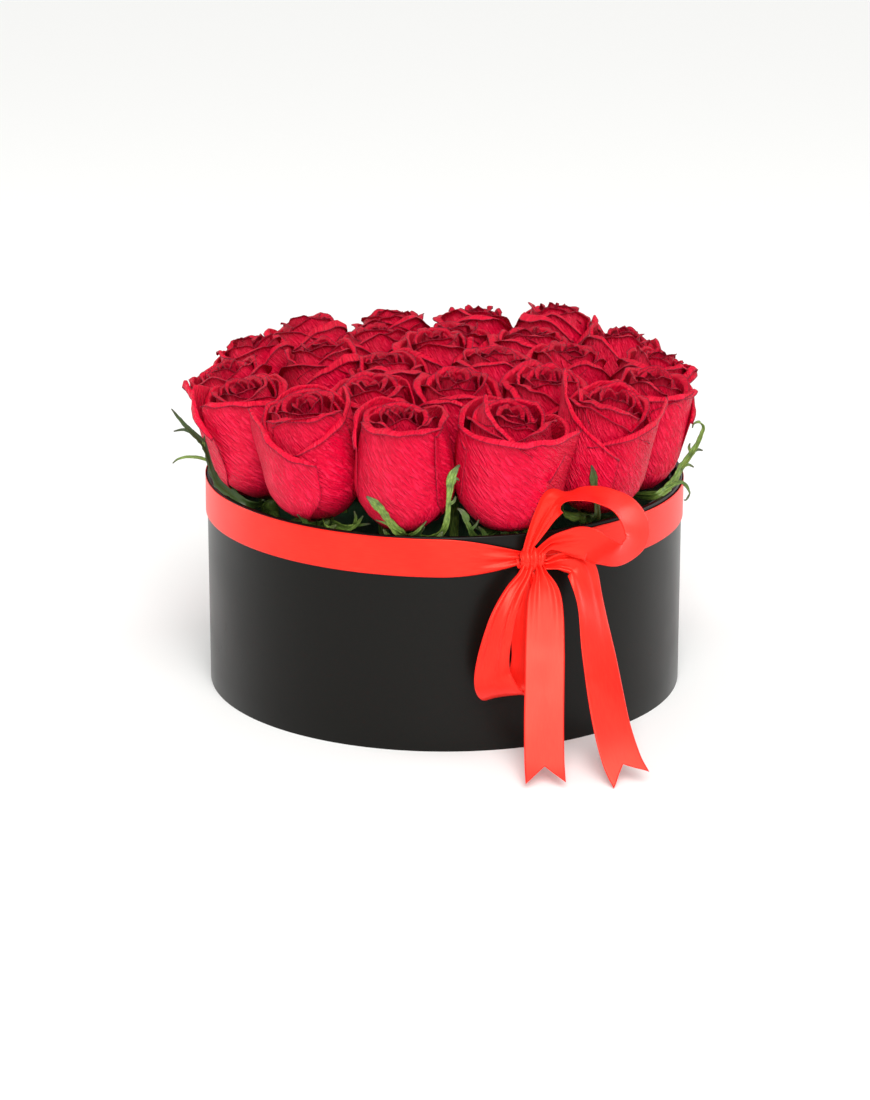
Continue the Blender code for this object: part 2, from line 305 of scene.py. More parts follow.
@dataclass(frozen=True)
class PetalSkin:
    """Rose petal: a waxy skin of tiny domed cells, which looks like velvet, over a fan of fine creases, with a
    painted highlight on the creases' ridges and painted shade that darkens the inner petals.
    """

    face: PetalFace
    body: int
    # A lighter crimson laid on the creases' ridges: a painted highlight.
    light: int
    # Random darker blotches, and painted shade on the inner petals.
    deep: int
    rim: int
    rim_mm: float
    claw: int = 0xE9B9AE  # the pale foot of a petal
    crease_wide_mm: float = 1.2
    crease_long_mm: float = 7.0
    crease_deep_mm: float = 2.3
    crease_lean: float = 0.65

    def material(self) -> bpy.types.Material:
        """The finish as a material."""
        material, tree, shader = new_surface(
            f"rose_petal_{self.face.value}", Roughness=0.46, Specular_IOR_Level=0.16, Sheen_Weight=0.02,
            Sheen_Roughness=0.4, Sheen_Tint=linear(0xFF5068))
        flat = add_node(tree, "ShaderNodeUVMap", uv_map="petal_mm").outputs[0]
        edge = add_node(tree, "ShaderNodeAttribute", attribute_name="edge_mm").outputs["Fac"]
        tone_and_shade = add_node(tree, "ShaderNodeAttribute", attribute_name="tone_and_shade").outputs["Fac"]
        along = add_node(tree, "ShaderNodeSeparateXYZ", {0: flat}).outputs[1]
        # Creases run slantwise over the petal, each several times as long as it is wide.
        slant = {"Vector": flat, "Scale": (self.crease_wide_mm, self.crease_long_mm, 1.0),
                 "Rotation": (0.0, 0.0, self.crease_lean)}
        slanted = add_node(tree, "ShaderNodeMapping", slant, vector_type="TEXTURE").outputs[0]
        creases = add_node(tree, "ShaderNodeTexNoise", {"Vector": slanted, "Scale": 1.0, "Detail": 2.0,
                                                        "Roughness": 0.5, "Distortion": 0.9}).outputs["Fac"]
        broad = add_node(tree, "ShaderNodeTexNoise",
                         {"Vector": flat, "Scale": 0.06, "Detail": 2.0}).outputs["Fac"]
        grain = add_node(tree, "ShaderNodeTexNoise",
                         {"Vector": flat, "Scale": 2.6, "Detail": 1.0}).outputs["Fac"]
        colour = stain(tree, self.body, self.deep, broad, 0.4, 0.8, 0.0, 0.6)
        # Painted highlight: the light colour on the creases' ridges.
        colour = stain(tree, colour, self.light, creases, 0.46, 0.68, 0.0, 0.5)
        # Painted shade: petals further in the head are darker as their tone number rises, which also varies at
        # random.
        colour = stain(tree, colour, self.deep, tone_and_shade, 0.05, 0.9)
        colour = stain(tree, colour, self.claw, along, 0.5, 4.5, 0.7, 0.0)
        colour = stain(tree, colour, self.rim, edge, 0.1, self.rim_mm, 0.9, 0.0)
        dress(tree, shader, colour, (creases, 1.0, self.crease_deep_mm), (grain, 0.2, 0.06))
        return material


@dataclass(frozen=True)
class LeafSkin:
    """Rose stem and sepal: a green waxy skin, mottled, and darker and browner towards the tips."""

    body: int = 0x5C7A2B
    light: int = 0x90AC50
    deep: int = 0x2F451B
    tip: int = 0x3A3A26

    def material(self) -> bpy.types.Material:
        """The finish as a material."""
        material, tree, shader = new_surface("rose_green", Roughness=0.48, Specular_IOR_Level=0.45)
        flat = add_node(tree, "ShaderNodeUVMap", uv_map="leaf_mm").outputs[0]
        tone_and_shade = add_node(tree, "ShaderNodeAttribute", attribute_name="tone_and_shade").outputs["Fac"]
        along = add_node(tree, "ShaderNodeAttribute", attribute_name="edge_mm").outputs["Fac"]
        fibre = add_node(tree, "ShaderNodeMapping", {"Vector": flat, "Scale": (1.6, 0.25, 1.0)}).outputs[0]
        lines = add_node(tree, "ShaderNodeTexNoise",
                         {"Vector": fibre, "Scale": 1.0, "Detail": 3.0}).outputs["Fac"]
        blotch = add_node(tree, "ShaderNodeTexNoise",
                          {"Vector": flat, "Scale": 0.16, "Detail": 3.0}).outputs["Fac"]
        colour = stain(tree, self.body, self.light, lines, 0.35, 0.7)
        colour = stain(tree, colour, self.deep, blotch, 0.5, 0.72, 0.0, 0.8)
        colour = stain(tree, colour, self.deep, tone_and_shade, 0.05, 0.9)
        colour = stain(tree, colour, self.tip, along, 0.0, 7.0, 0.85, 0.0)
        dress(tree, shader, colour, (lines, 0.5, 0.2))
        return material


@dataclass(frozen=True)
class CutPith:
    """The slanting cut through a rose stem: pale damp pith inside a green ring."""

    pith: int = 0xD9DDB0
    ring: int = 0x86A04C

    def material(self) -> bpy.types.Material:
        """The finish as a material."""
        material, tree, shader = new_surface("cut_stem_pith", Roughness=0.6)
        flat = add_node(tree, "ShaderNodeUVMap", uv_map="leaf_mm").outputs[0]
        cells = add_node(tree, "ShaderNodeTexNoise",
                         {"Vector": flat, "Scale": 3.0, "Detail": 3.0}).outputs["Fac"]
        dress(tree, shader, stain(tree, self.pith, self.ring, cells, 0.35, 0.65))
        return material


@dataclass(frozen=True)
class SatinRibbon:
    """Polyester satin ribbon: long warp floats that shine along its length, a painted sheen on those floats,
    painted shade in broad patches for soft folds, and a firm woven selvedge.
    """

    body: int = 0xF7241B
    # A lighter red laid on the warp floats: a painted sheen.
    painted_warp_sheen: int = 0xFF3526
    # A darker red: in broad patches it is painted shade of soft folds; on the selvedge it is the denser weave's
    # own colour.
    fold: int = 0xDE1512
    half_mm: float = 11.0
    selvedge_mm: float = 0.7
    thread_mm: float = 0.45  # a real warp end is about 0.1 mm, drawn coarser so that it shows

    def material(self) -> bpy.types.Material:
        """The finish as a material."""
        material, tree, shader = new_surface(
            "red_polyester_satin", Roughness=0.33, Specular_IOR_Level=0.5, Specular_Tint=linear(0xFFB49C),
            Sheen_Weight=0.02, Sheen_Roughness=0.3, Sheen_Tint=linear(0xFFB0A0), Anisotropic=0.5)
        flat = add_node(tree, "ShaderNodeUVMap", uv_map="ribbon_mm").outputs[0]
        across = add_node(tree, "ShaderNodeSeparateXYZ", {0: flat}).outputs[0]
        woven = []
        for scale, detail in (((1 / self.thread_mm, 0.12, 1.0), 2.0), ((0.1, 1 / self.thread_mm, 1.0), 1.0)):
            drawn = add_node(tree, "ShaderNodeMapping", {"Vector": flat, "Scale": scale}).outputs[0]
            woven.append(add_node(tree, "ShaderNodeTexNoise",
                                  {"Vector": drawn, "Scale": 1.0, "Detail": detail}).outputs["Fac"])
        warp, weft = woven
        broad = add_node(tree, "ShaderNodeTexNoise",
                         {"Vector": flat, "Scale": 0.03, "Detail": 1.0}).outputs["Fac"]
        from_middle = add_node(tree, "ShaderNodeMath", {0: across}, operation="ABSOLUTE").outputs[0]
        start, end = self.half_mm - self.selvedge_mm, self.half_mm - 0.3
        selvedge = add_node(tree, "ShaderNodeMapRange", {0: from_middle, 1: start, 2: end, 4: 0.6},
                            interpolation_type="SMOOTHSTEP").outputs["Result"]
        # Painted sheen: a lighter red on the warp floats.
        colour = stain(tree, self.body, self.painted_warp_sheen, warp, 0.35, 0.7, 0.0, 0.45)
        # Painted shade: broad darker patches, as in soft folds.
        colour = stain(tree, colour, self.fold, broad, 0.4, 0.7, 0.0, 0.35)
        colour = stain(tree, colour, self.fold, from_middle, start, end, 0.0, 0.6)
        dress(tree, shader, colour, (warp, 0.22, 0.08), (weft, 0.15, 0.06), (selvedge, 0.5, 0.15))
        return material


@dataclass(frozen=True)
class LaminatedPaper:
    """Matt film-laminated black paper on greyboard: near black, soft in sheen, with a faint toothed grain and a
    painted highlight along its sharp edges.
    """

    body: int = 0x0A0907
    # A lighter fleck in the grain, also laid on the sharp edges as a painted highlight.
    worn: int = 0x171510
    grain_mm: float = 0.6

    def material(self) -> bpy.types.Material:
        """The finish as a material."""
        material, tree, shader = new_surface("matt_laminated_paper", Roughness=0.34, Specular_IOR_Level=0.17)
        place = add_node(tree, "ShaderNodeTexCoord").outputs["Object"]
        grain = add_node(tree, "ShaderNodeTexNoise",
                         {"Vector": place, "Scale": 1 / (self.grain_mm * MM), "Detail": 3.0}).outputs["Fac"]
        broad = add_node(tree, "ShaderNodeTexNoise",
                         {"Vector": place, "Scale": 14.0, "Detail": 3.0}).outputs["Fac"]
        scuff = add_node(tree, "ShaderNodeTexNoise", {"Vector": place, "Scale": 90.0, "Detail": 4.0,
                                                      "Roughness": 0.7}).outputs["Fac"]
        fold = add_node(tree, "ShaderNodeNewGeometry").outputs["Pointiness"]
        colour = stain(tree, self.body, self.worn, grain, 0.3, 0.7, 0.0, 0.3)
        # Painted highlight: lighter on the sharp convex edges of the rim.
        colour = stain(tree, colour, self.worn, fold, 0.52, 0.62, 0.0, 0.8)
        dress(tree, shader, colour, (grain, 0.12, 0.06))
        rough, scuffed = (
            add_node(tree, "ShaderNodeMapRange", {0: pattern, 1: low, 2: high, 3: start, 4: end},
                     interpolation_type="SMOOTHSTEP").outputs["Result"]
            for pattern, low, high, start, end in (
                (broad, 0.3, 0.7, 0.28, 0.36),
                (scuff, 0.62, 0.75, 0.0, 0.08),
            )
        )
        worn = add_node(tree, "ShaderNodeMath", {0: rough, 1: scuffed}, operation="ADD")
        tree.links.new(worn.outputs[0], shader.inputs["Roughness"])
        return material


@dataclass(frozen=True)
class WetFoam:
    """Soaked phenolic floral foam: dark green, dull, with tiny open cells darkened in their middles as painted
    shade, and darker wet patches.
    """

    dry: int = 0x24502E
    # Darker green for wet patches, and for painted shade in the cells' open pores.
    wet_and_pore_shade: int = 0x10301B
    cell_mm: float = 0.9

    def material(self) -> bpy.types.Material:
        """The finish as a material."""
        material, tree, shader = new_surface("wet_floral_foam", Roughness=0.85, Specular_IOR_Level=0.3)
        place = add_node(tree, "ShaderNodeTexCoord").outputs["Object"]
        cells = add_node(tree, "ShaderNodeTexVoronoi",
                         {"Vector": place, "Scale": 1 / (self.cell_mm * MM)}).outputs["Distance"]
        patch = add_node(tree, "ShaderNodeTexNoise",
                         {"Vector": place, "Scale": 28.0, "Detail": 4.0}).outputs["Fac"]
        colour = stain(tree, self.dry, self.wet_and_pore_shade, patch, 0.35, 0.62)
        # Painted shade: darker towards each cell's middle, where its open pore lies.
        colour = stain(tree, colour, self.wet_and_pore_shade, cells, 0.1, 0.5, 0.5, 0.0)
        dress(tree, shader, colour, (cells, 0.8, 0.4))
        return material


@dataclass(frozen=True)
class CrinkledFilm:
    """Clear cellophane: thin, glossy and crumpled, so that it glints along its creases."""

    tint: int = 0xDDE3E4
    haze: int = 0xFFFFFF

    def material(self) -> bpy.types.Material:
        """The finish as a material."""
        material, tree, shader = new_surface("clear_cellophane", Roughness=0.12, IOR=1.47, Alpha=0.14,
                                             Base_Color=linear(self.tint), Specular_IOR_Level=0.7)
        place = add_node(tree, "ShaderNodeTexCoord").outputs["Object"]
        folds = add_node(tree, "ShaderNodeTexVoronoi", {"Vector": place, "Scale": 95.0},
                         feature="DISTANCE_TO_EDGE").outputs["Distance"]
        cloud = add_node(tree, "ShaderNodeTexNoise",
                         {"Vector": place, "Scale": 60.0, "Detail": 3.0}).outputs["Fac"]
        dress(tree, shader, stain(tree, self.tint, self.haze, cloud, 0.4, 0.7, 0.0, 0.4), (folds, 0.6, 1.2))
        return material


# ---------------------------------------------------------------- roses


@dataclass(frozen=True)
class Petal:
    """One petal, as a share of its rose's size.

    Directions are degrees round the stem, 0 towards -Y and + towards +X.

    Attributes:
        facing: direction of its middle.
        spread: from its middle to one side.
        size: its distance from the stem's axis.
        height: how high its lip stands in the middle.
        drop: how much lower the lip is at the sides.
        tilt: how much higher the lip is on its + side.
        closing: how much its top draws in.
        lip_mm: length of the rolled lip.
        roll: degrees the lip rolls outward.
        flare_mm: how far the - and the + corner stand out.
        wave: how wavy its edge is.
        over: which side lies over its neighbour, -1 or 1.
        peak: height of the point in the lip's middle.
    """

    facing: float
    spread: float = 72.0
    size: float = 1.0
    height: float = 0.92
    drop: float = 0.25
    tilt: float = 0.0
    closing: float = 0.12
    lip_mm: float = 6.0
    roll: float = 125.0
    flare_mm: tuple = (0.0, 0.0)
    wave: float = 1.0
    over: float = 1.0
    peak: float = 0.0


@dataclass(frozen=True)
class RosePlan:
    """How one rose's head is made.

    Attributes:
        girth_mm: its radius.
        height_mm: how tall it is.
        turn: degrees that its own spiral is turned.
        outer: its outer petals, where they are set one by one.
        openness: how far its inner petals stand open.
    """

    girth_mm: float = 24.0
    height_mm: float = 67.0
    turn: float = 0.0
    outer: tuple = ()
    openness: float = 1.0


@dataclass
class RoseHead:
    """A half-open rose, built petal by petal from the outside in."""

    plan: RosePlan
    seed: int
    widest: float = 0.42
    body_rows: int = 11
    lip_rows: int = 7
    columns: int = 20
    petals: int = 19
    golden_angle: float = 137.5
    petal_mm: float = 0.36

    def outline(self, share: float, closing: float) -> float:
        """How wide a rose is part of the way up.

        Args:
            share: the share of its height, from 0 to 1.
            closing: how much its top draws in.

        Returns:
            The share of its full radius.
        """
        if share < self.widest:
            t = max(share, 0.0) / self.widest
            return 0.2 + 0.8 * math.sin(t**0.72 * math.pi / 2)
        t = (share - self.widest) / (1 - self.widest)
        return 1 - closing * t**1.6

    def spiral(self, rng: random.Random) -> list:
        """Every petal, the set ones first and the rest along the rose's own spiral.

        Args:
            rng: this rose's random numbers.

        Returns:
            The petals from the outside in.
        """
        row = list(self.plan.outer)
        for i in range(len(row), self.petals):
            depth = i / (self.petals - 1)
            outer = max(0.0, 1 - depth / 0.4)
            row.append(Petal(
                facing=self.plan.turn + i * self.golden_angle + rng.uniform(-18, 18),
                spread=72 + 27 * depth + rng.uniform(-8, 8),
                size=1.0 - 0.13 * depth - 0.76 * depth**1.65,
                height=0.95 + 0.065 * min(1.0, depth * 1.4) + rng.uniform(-0.03, 0.02),
                drop=0.06 + 0.14 * outer + rng.uniform(0, 0.06),
                tilt=rng.uniform(-0.08, 0.08),
                closing=(0.08 + 0.46 * depth) / self.plan.openness,
                lip_mm=(3.0 + 2.6 * outer) * rng.uniform(0.6, 1.4),
                roll=(80 + 75 * outer) * rng.uniform(0.7, 1.15),
                flare_mm=(rng.uniform(0, 2.5) + 4 * outer * rng.random(),
                          rng.uniform(0, 2.5) + 4 * outer * rng.random()),
                wave=1.1 + rng.uniform(0, 1.1),
                over=rng.choice((-1, 1)),
                peak=rng.uniform(0, 0.02) + (0.035 if rng.random() < 0.25 else 0),
            ))
        return row

    def profile(self, petal: Petal, u: float, low: float, seed: float) -> tuple[list, float]:
        """One line of a petal from its foot to its edge.

        Args:
            petal: the petal.
            u: where across it, from -1 to 1.
            low: the share of the head's height where it starts.
            seed: what makes its waves its own.

        Returns:
            (outward, up) in millimetres for each row, and the length of the lip.
        """
        side = abs(u)
        height = self.plan.height_mm
        radius = self.plan.girth_mm * petal.size
        top = petal.height - petal.drop * side**2.3 + petal.tilt * u
        top += petal.peak * petal.size * math.exp(-((u / 0.28) ** 2))
        wave = petal.wave * (0.3 + 0.7 * petal.size)
        top += wave * (0.016 * ripple(u * 3.1, 0.0, seed) + 0.005 * ripple(u * 8.0, 1.0, seed))
        body_top = top - 0.3 * petal.lip_mm / height
        corner = petal.flare_mm[1] if u > 0 else petal.flare_mm[0]
        line = []
        for i in range(self.body_rows + 1):
            share = low + (body_top - low) * (i / self.body_rows) ** 0.9
            out = radius * self.outline(share, petal.closing)
            out += petal.over * u * 0.8 * smooth(share * 2.5)
            out += 1.0 * side**7 * smooth((share - 0.15) * 3)
            out += corner * side**2.4 * smooth((share - 0.4) / 0.55)
            out += 0.45 * petal.wave * ripple(u * 2.2, share * 2.0, seed + 5) * smooth(share * 3)
            near_lip = smooth((share - 0.62) / 0.38)
            frill = 0.8 * ripple(u * 2.6 + 9, 0.4, seed + 8) + 0.4 * ripple(u * 8, 0.4, seed)
            out += wave * near_lip * frill
            line.append((max(out, 0.4), height * share))
        (r0, h0), (r1, h1) = line[-2], line[-1]
        heading = math.atan2(r1 - r0, h1 - h0)
        roll = math.radians(petal.roll) * (1 - 0.3 * side**4) * (1 + 0.35 * ripple(u * 2.4, 1.0, seed + 3))
        length = petal.lip_mm * (1 - 0.6 * side**3)
        length *= 1 + 0.4 * ripple(u * 2.7, 2.0, seed + 4) + 0.15 * ripple(u * 8.5, 2.0, seed + 6)
        step = length / self.lip_rows
        for i in range(self.lip_rows):
            # The lip bends sharply at its root and lies nearly straight towards its edge.
            turn = heading + roll * smooth((i + 0.5) / self.lip_rows / 0.45)
            r1 += step * math.sin(turn)
            h1 += step * math.cos(turn)
            line.append((r1, h1))
        return line, length

    def add_petal(self, sheets: Sheets, petal: Petal, number: int, rng: random.Random) -> None:
        """Builds one petal as a grid.

        Args:
            sheets: where it goes.
            petal: its sizes.
            number: its place from the outside.
            rng: this rose's random numbers.
        """
        seed = self.seed * 3.7 + number * 1.9
        inner = number > 4
        count = self.columns if petal.size > 0.45 else self.columns - 6
        places = [(2 * j / count - 1) * 0.65 - math.cos(math.pi * j / count) * 0.35 for j in range(count + 1)]
        lines = [self.profile(petal, u, 0.3 if inner else 0.0, seed) for u in places]
        reach = self.plan.girth_mm * petal.size * math.radians(petal.spread)
        finer = 1.9 - 0.9 * min(1.0, petal.size)
        grid = []
        flat = []
        edge = []
        for i in range(self.body_rows + self.lip_rows + 1):
            on_lip = max(0, i - self.body_rows)
            row = []
            flat_row = []
            edge_row = []
            for u, (line, length) in zip(places, lines):
                out, up = line[i]
                share = up / self.plan.height_mm
                wide = 1.0 if inner else 0.4 + 0.6 * smooth(share / 0.42)
                wide *= 1 - 0.08 * smooth((share - 0.7) / 0.3)
                angle = math.radians(petal.facing + u * petal.spread * wide)
                row.append(Vector((out * math.sin(angle), -out * math.cos(angle), up)) * MM)
                shoulder = line[self.body_rows][1]
                lip_part = length * on_lip / self.lip_rows
                flat_row.append((u * 30.0 + number * 77.0, min(up, shoulder) + lip_part if on_lip else up))
                to_lip = length - lip_part + (0 if on_lip else shoulder - up)
                edge_row.append(min(to_lip, (1 - abs(u)) * reach + 0.2, 20.0) * finer)
            grid.append(row)
            flat.append(flat_row)
            edge.append(edge_row)
        # Painted shade: the further in a petal sits, the higher its tone number, so the heart is darker; the
        # rest is a random tone.
        depth = smooth(number / (self.petals - 4))
        sheets.add(grid, flat, edge, tone_and_shade=min(1.0, depth * 0.35 + rng.uniform(0, 0.4)))

    def build(self, name: str, materials: list) -> bpy.types.Object:
        """Makes the head in the rose's own frame.

        Args:
            name: the piece's name.
            materials: the petals' outside and inside.

        Returns:
            The new object.
        """
        rng = random.Random(self.seed)
        sheets = Sheets("petal_mm")
        for number, petal in enumerate(self.spiral(rng)):
            self.add_petal(sheets, petal, number, rng)
        return sheets.build(name, materials, self.petal_mm * MM, sides=1)


@dataclass(frozen=True)
class Sepal:
    """One sepal as a path in millimetres from the top of the hip: to the side, out and up.

    Attributes:
        path: the points it passes through.
        facing: degrees that the path is turned round the stem.
        width_mm: its width near its foot.
        tip_mm: how much wider its tip swells.
        upright: whether the path's axes are the world's and not the stem's.
        threads: finer side shoots, as paths.
        pale: whether it is a fresh light one.
    """

    path: tuple
    facing: float = 0.0
    width_mm: float = 5.5
    tip_mm: float = 0.0
    upright: bool = False
    threads: tuple = ()
    pale: bool = False


@dataclass
class RoseStem:
    """The green parts of one rose: stem with its slanting cut, hip and five sepals."""

    length_mm: float
    seed: int
    upright: Matrix
    sepals: tuple = ()
    hip_mm: float = 5.5
    stem_mm: float = 2.75
    gap_mm: float = 0.3
    sides: int = 16
    stalk_rows: int = 16
    sepal_steps: int = 4
    thread_mm: float = 1.4

    def add_stalk(self, sheets: Sheets) -> None:
        """The hip and the stem, as one turned skin with swellings, closed by the cut.

        Args:
            sheets: where it goes.
        """
        stations = [
            (0.0, 0.02), (-0.3, 0.75), (-1.6, 0.97), (-4.0, 1.0), (-6.4, 0.82), (-8.2, 0.58), (-9.5, 0.5),
        ]
        outline = [(-self.gap_mm + up, self.hip_mm * share) for up, share in stations]
        start = outline[-1][0]
        for i in range(1, self.stalk_rows + 1):
            up = start + (-self.length_mm - start) * i / self.stalk_rows
            swell = 1 - 0.06 * abs(ripple(i * 0.45, 0.0, self.seed))
            outline.append((up, self.stem_mm * swell))

        def skin(i: int, j: int) -> tuple:
            """One point of the skin, whose last rows slant to the cut.

            Args:
                i: the row.
                j: the point round it.

            Returns:
                The point and its place on the flat cut.
            """
            up, radius = outline[i]
            slant = smooth((i - len(outline) + 4) / 3) * 0.9
            angle = 2 * math.pi * j / self.sides
            lift = slant * self.stem_mm * (1 + math.cos(angle))
            point = Vector((radius * math.cos(angle), radius * math.sin(angle), up + lift)) * MM
            return point, (radius * angle, up)

        sheets.lay(len(outline), self.sides, skin, closed=True, tone_and_shade=0.3)
        cut = [[skin(len(outline) - 1, j)[0] for j in range(self.sides)]]
        middle = sum(cut[0], Vector()) / self.sides
        cut += [[middle.lerp(p, share) for p in cut[0]] for share in (0.6, 0.02)]
        places = [[(p.x / MM, p.y / MM) for p in row] for row in cut]
        sheets.add(cut, places, tone_and_shade=0.5, slot=1, closed=True)

    def add_blade(self, sheets: Sheets, line: list, out: Vector, width_mm: float, tip_mm: float,
                  tone_and_shade: float) -> None:
        """A tapering blade, folded along its midrib.

        Args:
            sheets: where it goes.
            line: points along its midrib, in millimetres.
            out: the direction that its back faces.
            width_mm: its width near its foot.
            tip_mm: how much wider its tip swells.
            tone_and_shade: how dark it is.
        """
        row_points = through(line, self.sepal_steps)
        sideways = (line[-1] - line[0]).cross(out)
        lengths = [0.0]
        for a, b in zip(row_points, row_points[1:]):
            lengths.append(lengths[-1] + (b - a).length)
        grid = []
        flat = []
        edge = []
        for i, middle in enumerate(row_points):
            ahead = row_points[min(i + 1, len(row_points) - 1)] - row_points[max(i - 1, 0)]
            across = (sideways - ahead.normalized() * sideways.dot(ahead.normalized())).normalized()
            up = across.cross(ahead.normalized())
            t = lengths[i] / lengths[-1]
            half = width_mm / 2 * (0.6 + 0.4 * smooth(t * 5)) * (1 - t**2) ** 0.8 + 0.2
            half += tip_mm / 2 * math.exp(-(((t - 0.88) / 0.09) ** 2))
            row = []
            for s in (-1, -0.5, 0, 0.5, 1):
                ragged = 1 + 0.4 * ripple(t * lengths[-1] * 0.35, s * 3, self.seed + width_mm)
                row.append(middle + across * half * s * ragged + up * 0.55 * half * abs(s) ** 1.3 * ragged)
            grid.append([p * MM for p in row])
            flat.append([(half * s, lengths[i]) for s in (-1, -0.5, 0, 0.5, 1)])
            edge.append([lengths[-1] - lengths[i]] * 5)
        sheets.add(grid, flat, edge, tone_and_shade)

    def build(self, name: str, materials: list) -> tuple:
        """Makes the stalk and its sepals in the rose's own frame.

        Args:
            name: the stalk's name, which the sepals' name starts with.
            materials: green skin and cut pith.

        Returns:
            The stalk and the sepals.
        """
        rng = random.Random(self.seed)
        stalk = Sheets("leaf_mm")
        self.add_stalk(stalk)
        leaves = Sheets("leaf_mm")
        for sepal in self.sepals:
            turn = self.upright if sepal.upright else Matrix.Identity(3)
            turn = turn @ Matrix.Rotation(math.radians(sepal.facing), 3, "Z")
            blades = [(sepal.path, sepal.width_mm, sepal.tip_mm)]
            blades += [(thread, self.thread_mm, 0) for thread in sepal.threads]
            for path, width, tip in blades:
                line = [turn @ Vector((along, -out, up)) for along, out, up in path]
                self.add_blade(leaves, line, turn @ Vector((0, -1, 0.3)), width, tip,
                               0.0 if sepal.pale else 0.15 + rng.random() * 0.7)
        return stalk.build(name, materials), leaves.build(f"{name}_sepals", materials[:1], 0.5 * MM)


@dataclass
class RoseBed:
    """The 25 roses, each on its own body, in the places that the frame gives."""

    plans: dict
    sepals: dict

    def own_frame(self, number: int) -> Matrix:
        """A rose's frame: origin at its head's foot, Z up its stem, -Y as near to the world's as that allows.

        Args:
            number: which rose, from 1.

        Returns:
            The matrix from the rose's frame to the world.
        """
        joint = next(j for j in frame["joints"] if j["child"] == f"rose_{number:02d}")
        up = Vector(joint["axis"]).normalized()
        front = Vector((0, -1, 0))
        front = (front - up * front.dot(up)).normalized()
        back = -front
        side = back.cross(up)
        turn = Matrix((side, back, up)).transposed().to_4x4()
        return Matrix.Translation(joint["pos_m"]) @ turn

    def stem_length_mm(self, number: int, place: Matrix) -> float:
        """How far the cut end lies below the head's foot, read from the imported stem.

        Args:
            number: which rose, from 1.
            place: the matrix from the rose's frame to the world.

        Returns:
            The length in millimetres.
        """
        inverse = place.inverted()
        stem = frame["nodes"][f"rose_{number:02d}_stem"]
        return -min((inverse @ v.co).z for v in stem.data.vertices) / MM

    def usual_sepals(self, number: int, rng: random.Random) -> tuple:
        """Sepals that lie back under the head, the set ones first.

        Args:
            number: which rose, from 1.
            rng: this rose's random numbers.

        Returns:
            Its five sepals.
        """
        row = list(self.sepals.get(number, ()))
        for i in range(len(row), 5):
            reach = rng.uniform(0.8, 1.15)
            path = ((0, 4.0, -1.8), (0, 9 * reach, -1.6), (rng.uniform(-2, 2), 15 * reach, 0.4),
                    (rng.uniform(-4, 4), 21 * reach, 3.5 + rng.uniform(-3, 5)))
            row.append(Sepal(path, facing=i * 72 + rng.uniform(-20, 20), width_mm=rng.uniform(5.5, 7.5)))
        return tuple(row)

    def build(self) -> None:
        """Makes every rose and puts it on its body."""
        # Petal colours: light is laid on the crease ridges as a painted highlight; deep colours random blotches
        # and, on the inner petals, painted shade.
        petal = [
            PetalSkin(PetalFace.OUTSIDE, body=0xD60032, light=0xFF2A56, deep=0xB20026, rim=0x86122A,
                      rim_mm=0.6).material(),
            PetalSkin(PetalFace.INSIDE, body=0xD8042F, light=0xEE1240, deep=0xBC0028, rim=0x881630,
                      rim_mm=1.1).material(),
        ]
        green = [LeafSkin().material(), CutPith().material()]
        for number in range(1, ROSES + 1):
            name = f"rose_{number:02d}"
            place = self.own_frame(number)
            rng = random.Random(1000 + number)
            plan = self.plans.get(number)
            if plan is None:
                plan = RosePlan(
                    girth_mm=24.2 if number in OUTER_RING else 23.6,
                    height_mm=rng.uniform(66.5, 71.5) + TALLER_MM.get(number, 0.0),
                    turn=rng.uniform(0, 360),
                    openness=rng.uniform(0.8, 1.3),
                )
            head = RoseHead(plan, seed=number).build(f"{name}_petals", petal)
            stem = RoseStem(self.stem_length_mm(number, place), number, place.to_3x3().inverted(),
                            self.usual_sepals(number, rng))
            stalk, leaves = stem.build(f"{name}_stalk", green)
            for piece, slot in ((head, "rose_petal"), (stalk, "rose_stem"), (leaves, "rose_stem")):
                piece.data.transform(place)
                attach(piece, name)
            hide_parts(f"{name}_bloom")
            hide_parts(f"{name}_stem")
            LOG.info("%s: %d petal faces, stem %.0f mm", name, len(head.data.polygons), stem.length_mm)


ROSES = 25
OUTER_RING = range(1, 15)
# Some heads at the back stand taller than their neighbours.
TALLER_MM = {9: 3.0, 10: 6.5, 11: 2.0}
